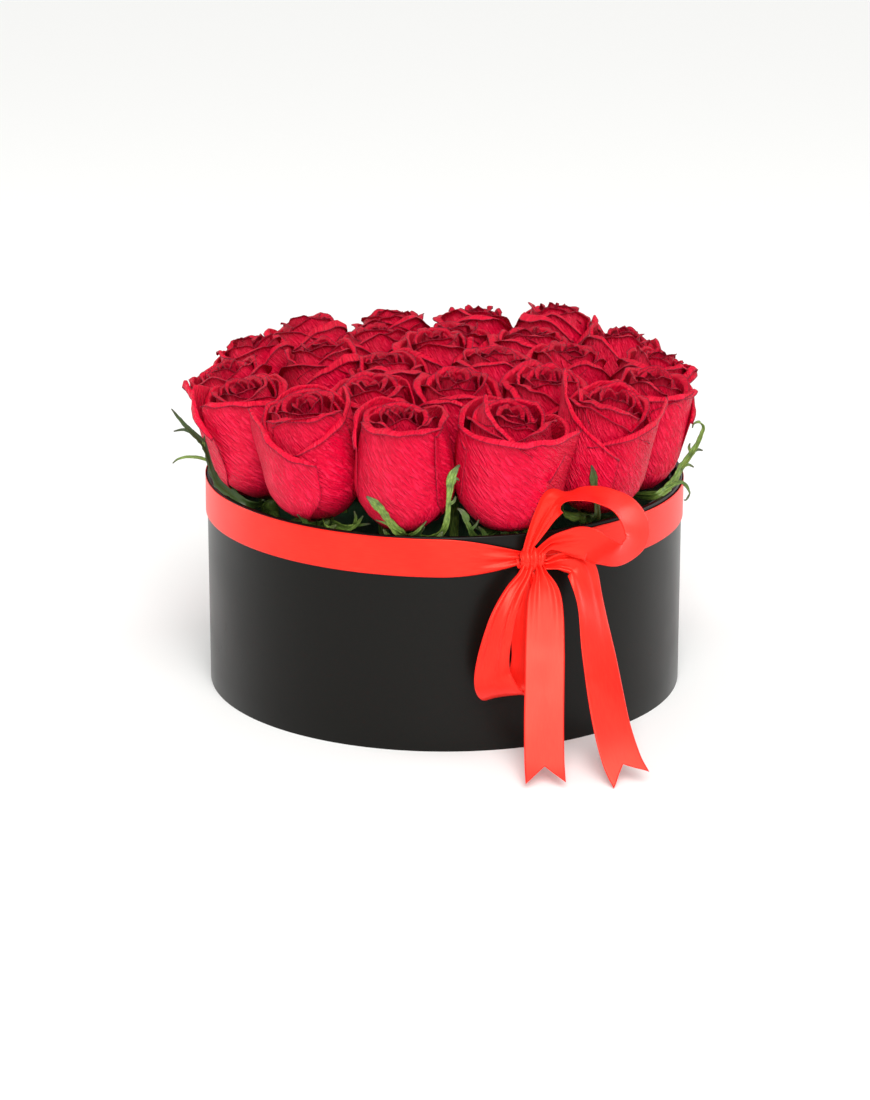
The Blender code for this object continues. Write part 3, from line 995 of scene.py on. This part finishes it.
# The front roses are the ones whose petals can be told apart, so their outer petals are set one by one.
FRONT_PLANS = {
    # left side, pointed petals folded back over the rim
    1: RosePlan(24.5, 66, 10, (
        Petal(-75, 62, size=1.02, height=0.95, drop=0.2, closing=0.0, lip_mm=6,
              roll=150, flare_mm=(3, 5), peak=0.06),
        Petal(40, 66, size=1.0, height=0.95, drop=0.3, closing=0.08, lip_mm=5, roll=150, flare_mm=(4, 0)),
    )),
    # one smooth petal in front, its lip falling to the right
    2: RosePlan(25.5, 69, 35, (
        Petal(8, 76, size=1.03, height=0.98, drop=0.1, tilt=-0.1, closing=0.2, lip_mm=4.5, roll=160,
              flare_mm=(3, 0), over=-1),
        Petal(-105, 66, size=1.05, height=1.0, drop=0.25, closing=0.0, lip_mm=6,
              roll=150, flare_mm=(5, 4), peak=0.06),
        Petal(115, 68, size=0.99, height=0.98, drop=0.25, closing=0.1, lip_mm=5, roll=150),
    )),
    # two petals crossing in a V, the left one in front
    3: RosePlan(27.5, 71, 60, (
        Petal(-45, 52, size=1.06, height=0.86, drop=0.0, tilt=-0.19, closing=0.16, lip_mm=5,
              roll=165, flare_mm=(6, 0)),
        Petal(60, 78, size=1.01, height=0.93, drop=0.06, tilt=0.12, closing=0.2, lip_mm=4.5, roll=165,
              flare_mm=(0, 5)),
        Petal(178, 76, size=1.0, height=1.0, drop=0.2, closing=0.1, lip_mm=5, roll=140),
        Petal(0, 66, size=0.95, height=1.02, drop=0.03, closing=0.24, lip_mm=4,
              roll=150, flare_mm=(2, 2), wave=1.5),
    )),
    # one broad petal with a level lip that rises at its right
    4: RosePlan(26.3, 72, 80, (
        Petal(-10, 74, size=1.06, height=1.02, drop=0.03, closing=0.28, lip_mm=5, roll=150, flare_mm=(0, 4)),
        Petal(98, 60, size=1.1, height=1.0, drop=0.1, tilt=-0.05, closing=0.2, lip_mm=5, roll=150,
              flare_mm=(3, 3)),
        Petal(-140, 72, size=1.0, height=1.0, drop=0.2, closing=0.1, lip_mm=5, roll=140),
        Petal(-80, 74, size=0.9, height=0.98, drop=0.08, closing=0.3, lip_mm=4, roll=140),
    ), openness=0.72),
    # the widest: a broad level lip with its right corner drawn out
    5: RosePlan(28.6, 71, 110, (
        Petal(6, 84, size=1.06, height=0.97, drop=0.02, closing=0.16, lip_mm=5,
              roll=160, flare_mm=(4, 9), wave=1.5),
        Petal(104, 60, size=1.02, height=0.9, drop=0.25, tilt=0.05, closing=0.0, lip_mm=5,
              roll=140, flare_mm=(4, 5)),
        Petal(-128, 72, size=1.0, height=1.0, drop=0.2, closing=0.1, lip_mm=5, roll=140),
        Petal(-34, 66, size=0.95, height=1.05, drop=0.05, tilt=-0.16, closing=0.3, lip_mm=4, roll=150),
    )),
    # a V again, with both outer corners drawn up
    6: RosePlan(26.5, 71, 140, (
        Petal(-56, 72, size=1.05, height=0.94, drop=0.06, tilt=-0.2, closing=0.08, lip_mm=4, roll=160,
              flare_mm=(7, 0)),
        Petal(50, 72, size=1.02, height=0.92, drop=0.05, tilt=0.14, closing=0.06, lip_mm=5, roll=160,
              flare_mm=(0, 7)),
        Petal(172, 72, size=1.0, height=1.0, drop=0.2, closing=0.1, lip_mm=5, roll=140),
        Petal(-14, 66, size=0.93, height=1.04, drop=0.08, closing=0.28, lip_mm=4, roll=140),
    )),
    # right side, folded corners standing out
    7: RosePlan(23.6, 70, 20, (
        Petal(30, 76, size=1.0, height=0.98, drop=0.06, tilt=0.05, closing=0.16, lip_mm=5,
              roll=150, flare_mm=(0, 1)),
        Petal(-62, 66, size=1.0, height=0.95, drop=0.25, closing=0.08, lip_mm=5, roll=140, flare_mm=(3, 0)),
        Petal(140, 66, size=1.02, height=0.98, drop=0.25, closing=0.05, lip_mm=5, roll=140, flare_mm=(2, 2)),
    )),
    8: RosePlan(22.5, 69, 50, (
        Petal(70, 68, size=1.0, height=0.96, drop=0.2, closing=0.15, lip_mm=5,
              roll=130, flare_mm=(0, 0), peak=0.05),
        Petal(-30, 66, size=1.0, height=0.96, drop=0.25, closing=0.1, lip_mm=5, roll=150, flare_mm=(2, 2)),
    )),
}
# Sepals that show: the two long ones that curl out over the rim, and those in front of the heads.
SHOWN_SEPALS = {
    2: (Sepal(((-3, 4, -2), (-12, 19, 0), (-20.5, 13, 4.6), (-28.5, 5, 8.9), (-32.3, -1, 15), (-35.5, -3, 25),
               (-38.5, -3, 31), (-44, -3, 37), (-49, -3, 42), (-52.5, -3, 46.5), (-56, -3, 51)),
              width_mm=6.0, upright=True,
              threads=(((-43, -3, 36), (-49, -3, 38.6), (-55, -3, 37.6)),
                       ((-35, -3, 20), (-41, -3, 22), (-48, -3, 22.3), (-53, -3, 20.9), (-56, -3, 18.5)),
                       ((-38, -3, 28), (-37.5, -3, 33), (-36.5, -3, 36)))),),
    3: (Sepal(((4, 4, -2), (14, 22, -1), (20, 28, 4), (23, 30, 9)), width_mm=5.0, upright=True,
              threads=(((16, 24, 1), (22, 28, 3), (27, 29, 4)), ((18, 28, 4), (19, 30, 8), (18, 31, 12)))),
        Sepal(((0, 5, -2), (2, 21, -2), (5, 26, 0), (8, 28, 3)), width_mm=8.0, upright=True, pale=True),
        Sepal(((-4, 5, -2), (-9, 17, -1), (-11, 20, 4), (-14, 24, 8)), width_mm=5.0, upright=True)),
    4: (Sepal(((0, 4, -2), (-2, 18, 0), (-6.5, 27, 7), (-12, 34, 17), (-17.5, 37, 25), (-22, 37, 28.6)),
              width_mm=5.5, tip_mm=2.5, upright=True,
              threads=(((-2, 22, 3), (-9, 30, 10), (-17, 33, 14)), ((1, 20, 1), (6, 28, 6), (11, 32, 13)))),
        Sepal(((4, 3, -2), (13, 16, -1), (20, 23, 4), (22.6, 30, 14), (23.6, 31, 28.5), (25, 30, 37.7),
               (27.8, 29, 42.8), (29.4, 29, 44)), width_mm=3.6, tip_mm=3.5, upright=True,
              threads=(((24, 30, 34), (27, 31, 37), (29, 31, 36)),
                       ((23, 31, 22), (26, 31, 24), (27, 31, 27)))),
        Sepal(((2, 4, -2), (5, 20, -1), (8, 25, 5), (10, 30, 9)), width_mm=4.5, upright=True),
        Sepal(((-2, 5, -2), (-6, 19, -3), (-10, 22, 0), (-13, 24, 6)), width_mm=7.0, upright=True, pale=True),
        Sepal(((3, 5, -2), (12, 22, -3), (17, 25, 0), (20, 25, 5)), width_mm=8.0, upright=True, pale=True)),
    5: (Sepal(((-4, 4, -2), (-12, 16, -2), (-17, 23, 0), (-20, 30, 9), (-22.5, 32, 16.4), (-26, 31, 19.3)),
              width_mm=4.5, tip_mm=1.5, upright=True,
              threads=(((-19, 28, 6), (-16, 31, 9), (-14, 32, 13)),)),
        Sepal(((-2, 5, -2), (-9, 22, -1), (-12, 25, 4), (-14, 29, 8)), width_mm=5.0, upright=True),
        Sepal(((4, 5, -2), (12, 19, -2), (16, 19, 3), (19, 21, 8)), width_mm=6.0, upright=True, pale=True)),
    6: (Sepal(((0, 4, -2), (2, 20, -1), (4, 30, 6), (2.4, 33, 19.8), (1, 34, 32), (0, 34, 36)),
              width_mm=4.0, tip_mm=2.5, upright=True),),
    7: (Sepal(((3, 4, -2), (15.5, 22.5, 2.8), (22, 17, 5.5), (27.4, 10.5, 10), (30.3, 7.5, 15),
               (34.7, 7.5, 21.5), (39, 7.5, 28.3), (41.8, 7.5, 35), (43, 7.5, 39.7),
               (40.7, 7.5, 42.6), (37.4, 7.5, 41.6), (36.7, 7.5, 39)), width_mm=4.5, upright=True,
              threads=(((36, 7.5, 24), (35, 7.5, 27.5), (35.5, 7.5, 30)),
                       ((37, 7.5, 25), (40, 7.5, 26), (43, 7.5, 25.6)),
                       ((31, 7.5, 16), (35, 7.5, 17), (38, 7.5, 15.5)))),
        Sepal(((3, 4, -2), (17, 18, 3), (28.2, 12.5, 7.7), (32, 10.5, 6.6), (34.9, 10.5, 3.2),
               (35.4, 10.5, -0.4), (33.6, 11.5, -3), (32.4, 12, -2.8)), width_mm=3.0, upright=True)),
}


# ---------------------------------------------------------------- ribbon


@dataclass(frozen=True)
class Station:
    """One place along the ribbon.

    Attributes:
        at: along the wall, outward and up from the knot, in millimetres.
        side: the direction across the ribbon.
        spread: how much of its width lies flat, from 0 to 1.
    """

    at: tuple
    side: tuple
    spread: float = 1.0


LOOP_RIGHT = (
    Station((-1.5, 6, 1), (-1, 0, -0.3), 0.25),
    Station((-1.5, 7.5, 7), (-1, 0, -0.3), 0.27),
    Station((3, 8, 17), (-0.9, -0.2, 0.35), 0.45),
    Station((7.5, 11, 28), (-0.87, -0.5, 0), 0.6),
    Station((12, 15.5, 36.5), (-0.35, -0.93, -0.1), 0.8),
    Station((22, 19, 38.5), (0.2, -0.97, 0)),
    Station((32, 19.5, 37.5), (0.2, -0.95, 0.18)),
    Station((42, 20, 34), (0.36, -0.89, 0.29)),
    Station((50.5, 21.5, 27.5), (0.7, -0.66, 0.25)),
    Station((55.5, 23, 18), (0.87, -0.5, 0.0)),
    Station((53.5, 25, 9.5), (0.82, -0.5, -0.3)),
    Station((44.5, 26, 4), (0.55, -0.54, -0.63)),
    Station((35, 25.5, 6.5), (0.31, -0.41, -0.86)),
    Station((27, 23, 11), (0.09, -0.25, -0.96)),
    Station((19, 17, 10.5), (0, -0.12, -0.99), 0.75),
    Station((12.5, 11.5, 9.5), (0, -0.1, -1), 0.45),
    Station((8.5, 9, 7.5), (0.2, 0, -0.98), 0.25),
    Station((3, 7, 2), (0.4, 0, -0.9), 0.22),
)
LOOP_LEFT = (
    Station((-2, 6.5, -1), (-0.9, 0, 0.3), 0.22),
    Station((-5.6, 9, -8), (-0.9, 0.1, 0.4), 0.3),
    Station((-13, 12, -17), (-0.93, 0.1, 0.35), 0.5),
    Station((-19.5, 14.5, -29), (-0.96, 0.1, 0.2), 0.68),
    Station((-24.5, 16.5, -44), (-1, 0.1, 0), 0.82),
    Station((-26.5, 17, -56), (-0.98, 0.05, -0.12), 0.92),
    Station((-26, 16.5, -65), (-0.96, 0, -0.2)),
    Station((-21.5, 14, -72.5), (-0.88, -0.3, -0.3)),
    Station((-14, 10, -77), (-0.74, -0.62, -0.22)),
    Station((-6, 6.4, -77), (-0.86, -0.45, -0.18)),
    Station((-1.5, 4.8, -69.5), (-0.97, -0.2, -0.12)),
    Station((0.5, 4.4, -57), (-1, -0.03, -0.04)),
    Station((0, 4.3, -44), (-1, 0, 0)),
    Station((0, 4.4, -30), (-1, 0, 0), 0.85),
    Station((0, 4.6, -16), (-1, 0, 0), 0.5),
    Station((-0.5, 5, -6), (-1, 0, 0), 0.27),
    Station((-0.5, 5.5, -1), (-1, 0, 0), 0.2),
)
# The tails give their height as the share of the way down from the knot to the ground.
TAIL_LEFT = (
    Station((3, 6.5, 0.0), (0.945, 0.326, 0), 0.25),
    Station((4.5, 9, 0.065), (0.945, 0.326, 0), 0.3),
    Station((5, 14.5, 0.19), (0.945, 0.326, 0), 0.85),
    Station((1, 26, 0.46), (0.945, 0.326, 0)),
    Station((-6, 44, 0.74), (0.945, 0.326, 0)),
    Station((-10.5, 57, 0.91), (0.945, 0.326, 0)),
    Station((-13, 66, 1.0), (0.945, 0.326, 0)),
)
TAIL_RIGHT = (
    Station((3, 5.5, 0.01), (0.15, 0, 1), 0.25),
    Station((9, 6, 0.035), (0.15, 0, 1), 0.28),
    Station((17, 9.5, 0.02), (0.3, 0, 0.95), 0.5),
    Station((26, 13, 0.045), (0.75, -0.1, 0.65), 0.75),
    Station((30.5, 17.5, 0.21), (0.87, -0.48, 0), 0.95),
    Station((30.5, 33, 0.47), (0.966, -0.26, 0)),
    Station((28.5, 56, 0.74), (1, -0.04, 0)),
    Station((30, 69, 0.91), (0.97, 0.15, 0)),
    Station((33, 77, 1.0), (0.945, 0.26, 0)),
)


@dataclass
class RibbonBow:
    """One satin ribbon: a band round the rim, a knot, two loops and two tails."""

    width_mm: float = 22.0
    ribbon_mm: float = 0.35
    knot_degrees: float = 19.0
    knot_below_rim: float = 0.013
    knot_out_mm: float = 5.2
    knot_half_mm: tuple = (7.2, 5.3, 5.8)
    wall_gap_mm: float = 0.3
    band_gather: float = 0.050
    gathered: float = 0.25
    pleated_degrees: float = 42.0
    band_drop: float = 0.0025
    tail_lift_mm: float = 4.0
    notch_mm: float = 10.0
    columns: int = 24
    steps: int = 8
    pleats: float = 2.3
    knot_steps: int = 48

    def __post_init__(self) -> None:
        """Finds the knot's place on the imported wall."""
        _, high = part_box("box_wall")
        self.radius = high.x
        self.rim = high.z
        turn = Matrix.Rotation(math.radians(self.knot_degrees), 4, "Z")
        flip = Matrix(((1, 0, 0, 0), (0, -1, 0, 0), (0, 0, 1, 0), (0, 0, 0, 1)))
        out = Matrix.Translation((0, -self.radius - self.wall_gap_mm * MM, 0))
        self.knot = Matrix.Translation((0, 0, self.rim - self.knot_below_rim)) @ turn @ out @ flip

    def add_strip(self, sheets: Sheets, middles: list, sides: list, spreads: list, seed: float,
                  notch: bool) -> float:
        """A length of ribbon. Where it is gathered, it keeps its full width in lengthwise pleats.

        Args:
            sheets: where it goes.
            middles: its middle line, in millimetres.
            sides: unit vectors across it.
            spreads: how much of its width is spread, from 0 to 1.
            seed: what makes its waviness its own.
            notch: whether it ends in a swallow-tail cut.

        Returns:
            Its length in millimetres.
        """
        lengths = [0.0]
        for a, b in zip(middles, middles[1:]):
            lengths.append(lengths[-1] + (b - a).length)
        grid = []
        flat = []
        half = self.width_mm / 2
        last = len(middles) - 1
        for i, middle in enumerate(middles):
            ahead = (middles[min(i + 1, last)] - middles[max(i - 1, 0)]).normalized()
            across = (sides[i] - ahead * sides[i].dot(ahead)).normalized()
            face = ahead.cross(across).normalized()
            loose = 1 - spreads[i]
            depth = self.width_mm * loose / (4 * self.pleats)
            row = []
            flat_row = []
            for j in range(self.columns + 1):
                s = 2 * j / self.columns - 1
                pleat = math.sin(s * math.pi * self.pleats + seed + 0.9 * math.sin(1.7 * s * math.pi + seed))
                sway = 0.25 * ripple(s * 0.8, lengths[i] * 0.05, seed)
                sway += 0.5 * loose * ripple(s * 3, lengths[i] * 0.06, seed + 4)
                cup = 0.5 * (s * s - 0.33) * loose
                row.append(middle + across * s * half * spreads[i] + face * (depth * pleat + sway + cup))
                flat_row.append((s * half, lengths[i]))
            grid.append(row)
            flat.append(flat_row)
        if notch:
            self.cut_notch(grid, flat, lengths)
        placed = [[self.knot @ (p * MM) for p in row] for row in grid]
        sheets.add(placed, flat)
        return lengths[-1]

    def cut_notch(self, grid: list, flat: list, lengths: list) -> None:
        """Draws the rows near a tail's end back to a swallow-tail, deepest in the middle.

        Args:
            grid: the tail's rows of points, which are changed in place.
            flat: their places on the flat cut, changed too.
            lengths: how far along the tail each row is, in millimetres.
        """
        count = len(grid)
        reach = 3 * self.notch_mm
        moved = []
        for i in range(count):
            row = []
            flat_row = []
            for j in range(self.columns + 1):
                s = 2 * j / self.columns - 1
                back = self.notch_mm * (1 - abs(s)) * smooth((lengths[i] - (lengths[-1] - reach)) / reach)
                wanted = lengths[i] - back
                k = min(max(x for x in range(count) if lengths[x] <= wanted + 1e-9), count - 2)
                t = (wanted - lengths[k]) / (lengths[k + 1] - lengths[k])
                row.append(grid[k][j].lerp(grid[k + 1][j], t))
                flat_row.append((flat[i][j][0], flat[i][j][1] - back))
            moved.append((row, flat_row))
        for i, (row, flat_row) in enumerate(moved):
            grid[i] = row
            flat[i] = flat_row

    def loose(self, name: str, stations: tuple, satin: bpy.types.Material, seed: float,
              tail: bool = False) -> tuple:
        """A loop or a tail.

        Args:
            name: the piece's name.
            stations: the places it passes through.
            satin: its material.
            seed: what makes its waviness its own.
            tail: whether it runs to the ground and ends in a cut.

        Returns:
            The piece and its length in metres.
        """
        drop = self.knot.translation.z / MM - self.tail_lift_mm
        points = []
        for station in stations:
            along, out, up = station.at
            points.append(Vector((along, out, -up * drop if tail else up)))
        middles = through(points, self.steps)
        sides = through([Vector(s.side).normalized() for s in stations], self.steps)
        sides = [side.normalized() for side in sides]
        spreads = through([Vector((s.spread, 0, 0)) for s in stations], self.steps)
        spreads = [min(1.0, max(0.15, v.x)) for v in spreads]
        sheets = Sheets("ribbon_mm")
        length = self.add_strip(sheets, middles, sides, spreads, seed, tail)
        return sheets.build(name, [satin], self.ribbon_mm * MM), length * MM

    def band(self, satin: bpy.types.Material) -> tuple:
        """The long run round the wall, which narrows in pleats to the knot at both ends.

        Args:
            satin: its material.

        Returns:
            The piece and its length in metres.
        """
        radius = self.radius + (self.wall_gap_mm + 0.4) * MM
        knot_height = self.rim - self.knot_below_rim
        half = self.width_mm / 2
        # Rows lie closest beside the knot, where the pleats are.
        near = [self.pleated_degrees * (i / 48) ** 1.15 for i in range(48)]
        plain = 360 - 2 * self.pleated_degrees
        turns = near + [self.pleated_degrees + plain * i / 138 for i in range(139)]
        turns += [360 - turn for turn in reversed(near)]

        def place(i: int, j: int) -> tuple:
            """One point of the band.

            Args:
                i: the row, at turns[i].
                j: the point across the ribbon.

            Returns:
                The point and its place on the flat cut.
            """
            turn = turns[i]
            away = math.radians(min(turn, 360 - turn)) * radius
            share = math.sin(min(away / self.band_gather, 1) * math.pi / 2)
            spread = self.gathered + (1 - self.gathered) * share
            drop = self.band_drop * (1 + math.cos(math.radians(turn - 90))) / 2
            middle = knot_height + (self.rim - half * MM - drop - knot_height) * share
            depth = 0.75 * (1 - spread) * self.width_mm / (4 * self.pleats)
            s = 1 - 2 * j / self.columns
            fold = depth * (1 + math.sin(s * math.pi * self.pleats + 0.6 + 0.4 * math.sin(away * 90)))
            fold += 0.12 * (1 + ripple(s * 0.7, turn * 0.09, 3))
            out = radius + fold * MM
            angle = math.radians(self.knot_degrees + turn)
            point = Vector((out * math.sin(angle), -out * math.cos(angle), middle + s * half * spread * MM))
            return point, (s * half, math.radians(turn) * radius / MM)

        sheets = Sheets("ribbon_mm")
        sheets.lay(len(turns), self.columns + 1, place)
        return sheets.build("satin_band", [satin], self.ribbon_mm * MM), 2 * math.pi * radius

    def knot_wrap(self, satin: bpy.types.Material) -> tuple:
        """The turn of ribbon pulled tight over the crossing, as a pleated ring.

        Args:
            satin: its material.

        Returns:
            The piece and its length in metres.
        """
        along, out, up = self.knot_half_mm
        run = 2 * math.pi * math.sqrt((out * out + up * up) / 2)

        def place(i: int, j: int) -> tuple:
            """One point of the knot.

            Args:
                i: steps round the crossing.
                j: the point across the ribbon.

            Returns:
                The point and its place on the flat cut.
            """
            angle = 2 * math.pi * i / self.knot_steps
            s = 2 * j / self.columns - 1
            puff = math.sqrt(1 - (0.72 * s) ** 2)
            fold = 1 + 0.2 * math.sin(s * math.pi * 3.2 + 0.5 * math.sin(angle))
            fold += 0.04 * ripple(s * 2, angle * 0.8, 2)
            point = Vector((
                along * s * (1 + 0.08 * math.sin(angle)) + 0.8 * math.sin(angle),
                self.knot_out_mm + (out - 0.2) * puff * fold * math.cos(angle),
                up * puff * fold * math.sin(angle),
            ))
            return self.knot @ (point * MM), (s * self.width_mm / 2, run * i / self.knot_steps)

        sheets = Sheets("ribbon_mm")
        sheets.lay(self.knot_steps + 1, self.columns + 1, place)
        return sheets.build("satin_knot", [satin], self.ribbon_mm * MM), run * MM

    def build(self) -> None:
        """Makes the ribbon's pieces and puts them on the box."""
        satin = SatinRibbon().material()
        on_knot = ["satin_knot"]
        made = (
            (*self.band(satin), "ribbon_band", "stretched", ["box_wall"]),
            (*self.knot_wrap(satin), "bow_knot", "gathered", ["satin_band"]),
            (*self.loose("satin_loop_right", LOOP_RIGHT, satin, 1.0), "loop_right", "gathered", on_knot),
            (*self.loose("satin_loop_left", LOOP_LEFT, satin, 2.0), "loop_left", "gathered", on_knot),
            (*self.loose("satin_tail_left", TAIL_LEFT, satin, 3.0, True), "tail_left", "hung", on_knot),
            (*self.loose("satin_tail_right", TAIL_RIGHT, satin, 4.0, True), "tail_right", "hung", on_knot),
        )
        for piece, length, node, held, rests_on in made:
            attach(piece, "box")
            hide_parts(node)
            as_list(rests_on)
            LOG.info("%s: ribbon %.0f mm long", piece.name, length / MM)


# ---------------------------------------------------------------- box, foam and film


@dataclass
class BoardBox:
    """The board tube in its black paper, with the paper's lap seam at the back and its turn-in at the rim."""

    board_mm: float = 3.0
    arris_mm: float = 0.7
    paper_mm: float = 0.2
    lap_mm: float = 12.0
    lap_degrees: float = 17.0
    turn_in_mm: float = 16.0
    around: int = 288

    def build(self) -> None:
        """Makes the wall and dresses the base disc."""
        _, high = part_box("box_wall")
        outer = high.x / MM
        inner = outer - self.board_mm
        top = high.z / MM
        arris = self.arris_mm
        corner = [(1 - math.cos(a), 1 - math.sin(a)) for a in map(math.radians, (0, 22, 45, 68, 90))]
        outline = [(outer - 0.1, 0.0)]
        outline += [(outer, arris + (top - 2 * arris) * i / 10) for i in range(10)]
        outline += [(outer - arris * x, top - arris * y) for x, y in corner]
        outline += [(inner + arris * x, top - arris * y) for x, y in reversed(corner)]
        outline += [(inner, top - self.turn_in_mm), (inner + self.paper_mm, top - self.turn_in_mm - 0.2)]
        outline += [(inner + self.paper_mm, self.board_mm), (inner + self.paper_mm, 0.0), (outer - 0.1, 0.0)]
        lap = math.radians(180 + self.lap_degrees)

        def place(i: int, j: int) -> tuple:
            """One point of the wall, raised where the paper laps.

            Args:
                i: the place on the outline.
                j: the point round the box.

            Returns:
                The point and its place on the flat cut.
            """
            radius, up = outline[i]
            angle = 2 * math.pi * j / self.around
            past = (angle - lap) * outer
            on_lap = smooth(past / 0.6) * smooth((self.lap_mm - past) / 3)
            out = radius + (self.paper_mm * on_lap if radius >= outer - arris else 0.0)
            return Vector((out * math.sin(angle), -out * math.cos(angle), up)) * MM, (angle * outer, up)

        sheets = Sheets("wall_mm")
        sheets.lay(len(outline), self.around, place, closed=True)
        paper = LaminatedPaper().material()
        wall = sheets.build("paper_wall", [paper])
        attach(wall, "box")
        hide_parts("box_wall")
        disc = frame["nodes"]["base_disc"]
        disc.data.materials.clear()
        disc.data.materials.append(paper)
        LOG.info("paper_wall: %d faces; base_disc: matt laminated paper", len(wall.data.polygons))


@dataclass
class FoamInsert:
    """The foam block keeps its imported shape, and the film cup is a crumpled sheet in its place."""

    film_mm: float = 0.08
    around: int = 220
    up: int = 26
    wall_mm: float = 60.0
    floor_shares: tuple = (0.02, 0.35, 0.7, 0.97)

    def build(self) -> None:
        """Dresses the foam and makes the film."""
        foam = frame["nodes"]["floral_foam"]
        foam.data.materials.clear()
        foam.data.materials.append(WetFoam().material())
        low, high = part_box("waterproof_liner")
        radius = high.x / MM - 0.35
        foot = low.z / MM + 0.3
        top = high.z / MM

        def wall(i: int, j: int) -> tuple:
            """One point of the cup's crumpled wall.

            Args:
                i: the row, from the foot.
                j: the point round it.

            Returns:
                The point and its place on the flat cut.
            """
            t = i / self.up
            angle = 2 * math.pi * j / self.around
            x = math.cos(angle) * 9
            y = math.sin(angle) * 9
            crease = 0.5 * noise.noise(Vector((x, y, t * 7)))
            crease += 0.3 * noise.noise(Vector((x * 3, y * 3, t * 16)))
            ruffle = smooth((t - 0.86) / 0.14)
            out = radius - 0.3 + 0.45 * crease
            out -= ruffle * (2.2 + 2.0 * noise.noise(Vector((x * 2.6, y * 2.6, 4.0))))
            lift = foot + (top - foot) * t + ruffle * 2.0 * noise.noise(Vector((x * 2.1, y * 2.1, 8.0)))
            return Vector((out * math.cos(angle), out * math.sin(angle), lift)) * MM, (out * angle, lift)

        def place(i: int, j: int) -> tuple:
            """One point of the cup, the floor's rows first and then the wall's.

            Args:
                i: the row.
                j: the point round it.

            Returns:
                The point and its place on the flat cut.
            """
            if i >= len(self.floor_shares):
                return wall(i - len(self.floor_shares), j)
            point = wall(0, j)[0] * self.floor_shares[i]
            point.z = foot * MM
            return point, (point.x / MM, point.y / MM)

        sheets = Sheets("film_mm")
        sheets.lay(len(self.floor_shares) + self.up + 1, self.around, place, closed=True)
        film = sheets.build("film_liner", [CrinkledFilm().material()], self.film_mm * MM)
        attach(film, "insert")
        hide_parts("waterproof_liner")


# ---------------------------------------------------------------- studio


@dataclass(frozen=True)
class SoftBox:
    """One square lamp that faces the middle of the box."""

    name: str
    place: tuple
    size: float
    power: float

    def build(self) -> bpy.types.Object:
        """Makes the lamp."""
        light = bpy.data.lights.new(self.name, "AREA")
        light.size = self.size
        light.energy = self.power
        lamp = bpy.data.objects.new(self.name, light)
        lamp.location = self.place
        lamp.rotation_euler = (Vector((0, 0, 0.1)) - lamp.location).to_track_quat("-Z", "Y").to_euler()
        return lamp


@dataclass
class Studio:
    """Pale floor, soft white light all round and the camera."""

    camera_at: tuple = (-0.0056, -1.96, 0.684)
    pitch: float = 17.25
    lens: float = 112.9
    floor_reach: float = 9.0
    surround: float = 0.53
    lamps: tuple = (
        SoftBox("key", (0.15, -1.8, 0.95), 0.8, 16),
        SoftBox("left", (-1.5, 0.5, 0.5), 0.7, 7),
        SoftBox("right", (1.5, 0.5, 0.5), 0.7, 6),
    )
    wash_power: float = 2.15
    wash_angle: float = 40.0
    wash_turn: tuple = (40.0, 6.0, 0.0)

    def floor(self) -> bpy.types.Object:
        """The plain pale floor."""
        mesh = bpy.data.meshes.new("floor")
        far = self.floor_reach
        mesh.from_pydata([(-far, -far, 0), (far, -far, 0), (far, far, 0), (-far, far, 0)], [], [(0, 1, 2, 3)])
        material, _, _ = new_surface("pale_floor", Base_Color=linear(0xF4F4F2), Roughness=0.6,
                                     Specular_IOR_Level=0.2)
        mesh.materials.append(material)
        return bpy.data.objects.new("floor", mesh)

    def wash(self) -> bpy.types.Object:
        """The broad soft light from above and in front."""
        sun = bpy.data.lights.new("wash", "SUN")
        sun.angle = math.radians(self.wash_angle)
        sun.energy = self.wash_power
        lamp = bpy.data.objects.new("wash", sun)
        lamp.rotation_euler = tuple(map(math.radians, self.wash_turn))
        return lamp

    def camera(self) -> bpy.types.Object:
        """The camera, looking down at the front."""
        data = bpy.data.cameras.new("camera")
        data.lens = self.lens
        camera = bpy.data.objects.new("camera", data)
        camera.location = self.camera_at
        camera.rotation_euler = (math.radians(90 - self.pitch), 0, 0)
        return camera

    def build(self) -> None:
        """Sets the stage."""
        scene = bpy.context.scene
        scene.view_settings.view_transform = "Standard"
        floor = self.floor()
        camera = self.camera()
        for thing in (floor, *(lamp.build() for lamp in self.lamps), self.wash(), camera):
            scene.collection.objects.link(thing)
        world = bpy.data.worlds.new("studio")
        world.use_nodes = True
        world.node_tree.nodes["Background"].inputs[0].default_value = linear(0xFFFFFF)
        world.node_tree.nodes["Background"].inputs[1].default_value = self.surround
        scene.world = world
        scene.camera = camera
        LOG.info("studio: floor, camera and %d lamps", len(self.lamps) + 1)


def main() -> None:
    """Builds the object from the inside out, then the studio."""
    logging.basicConfig(level=logging.INFO, format="%(message)s")
    BoardBox().build()
    FoamInsert().build()
    RoseBed(FRONT_PLANS, SHOWN_SEPALS).build()
    RibbonBow().build()
    Studio().build()


if __name__ == "__main__":
    main()
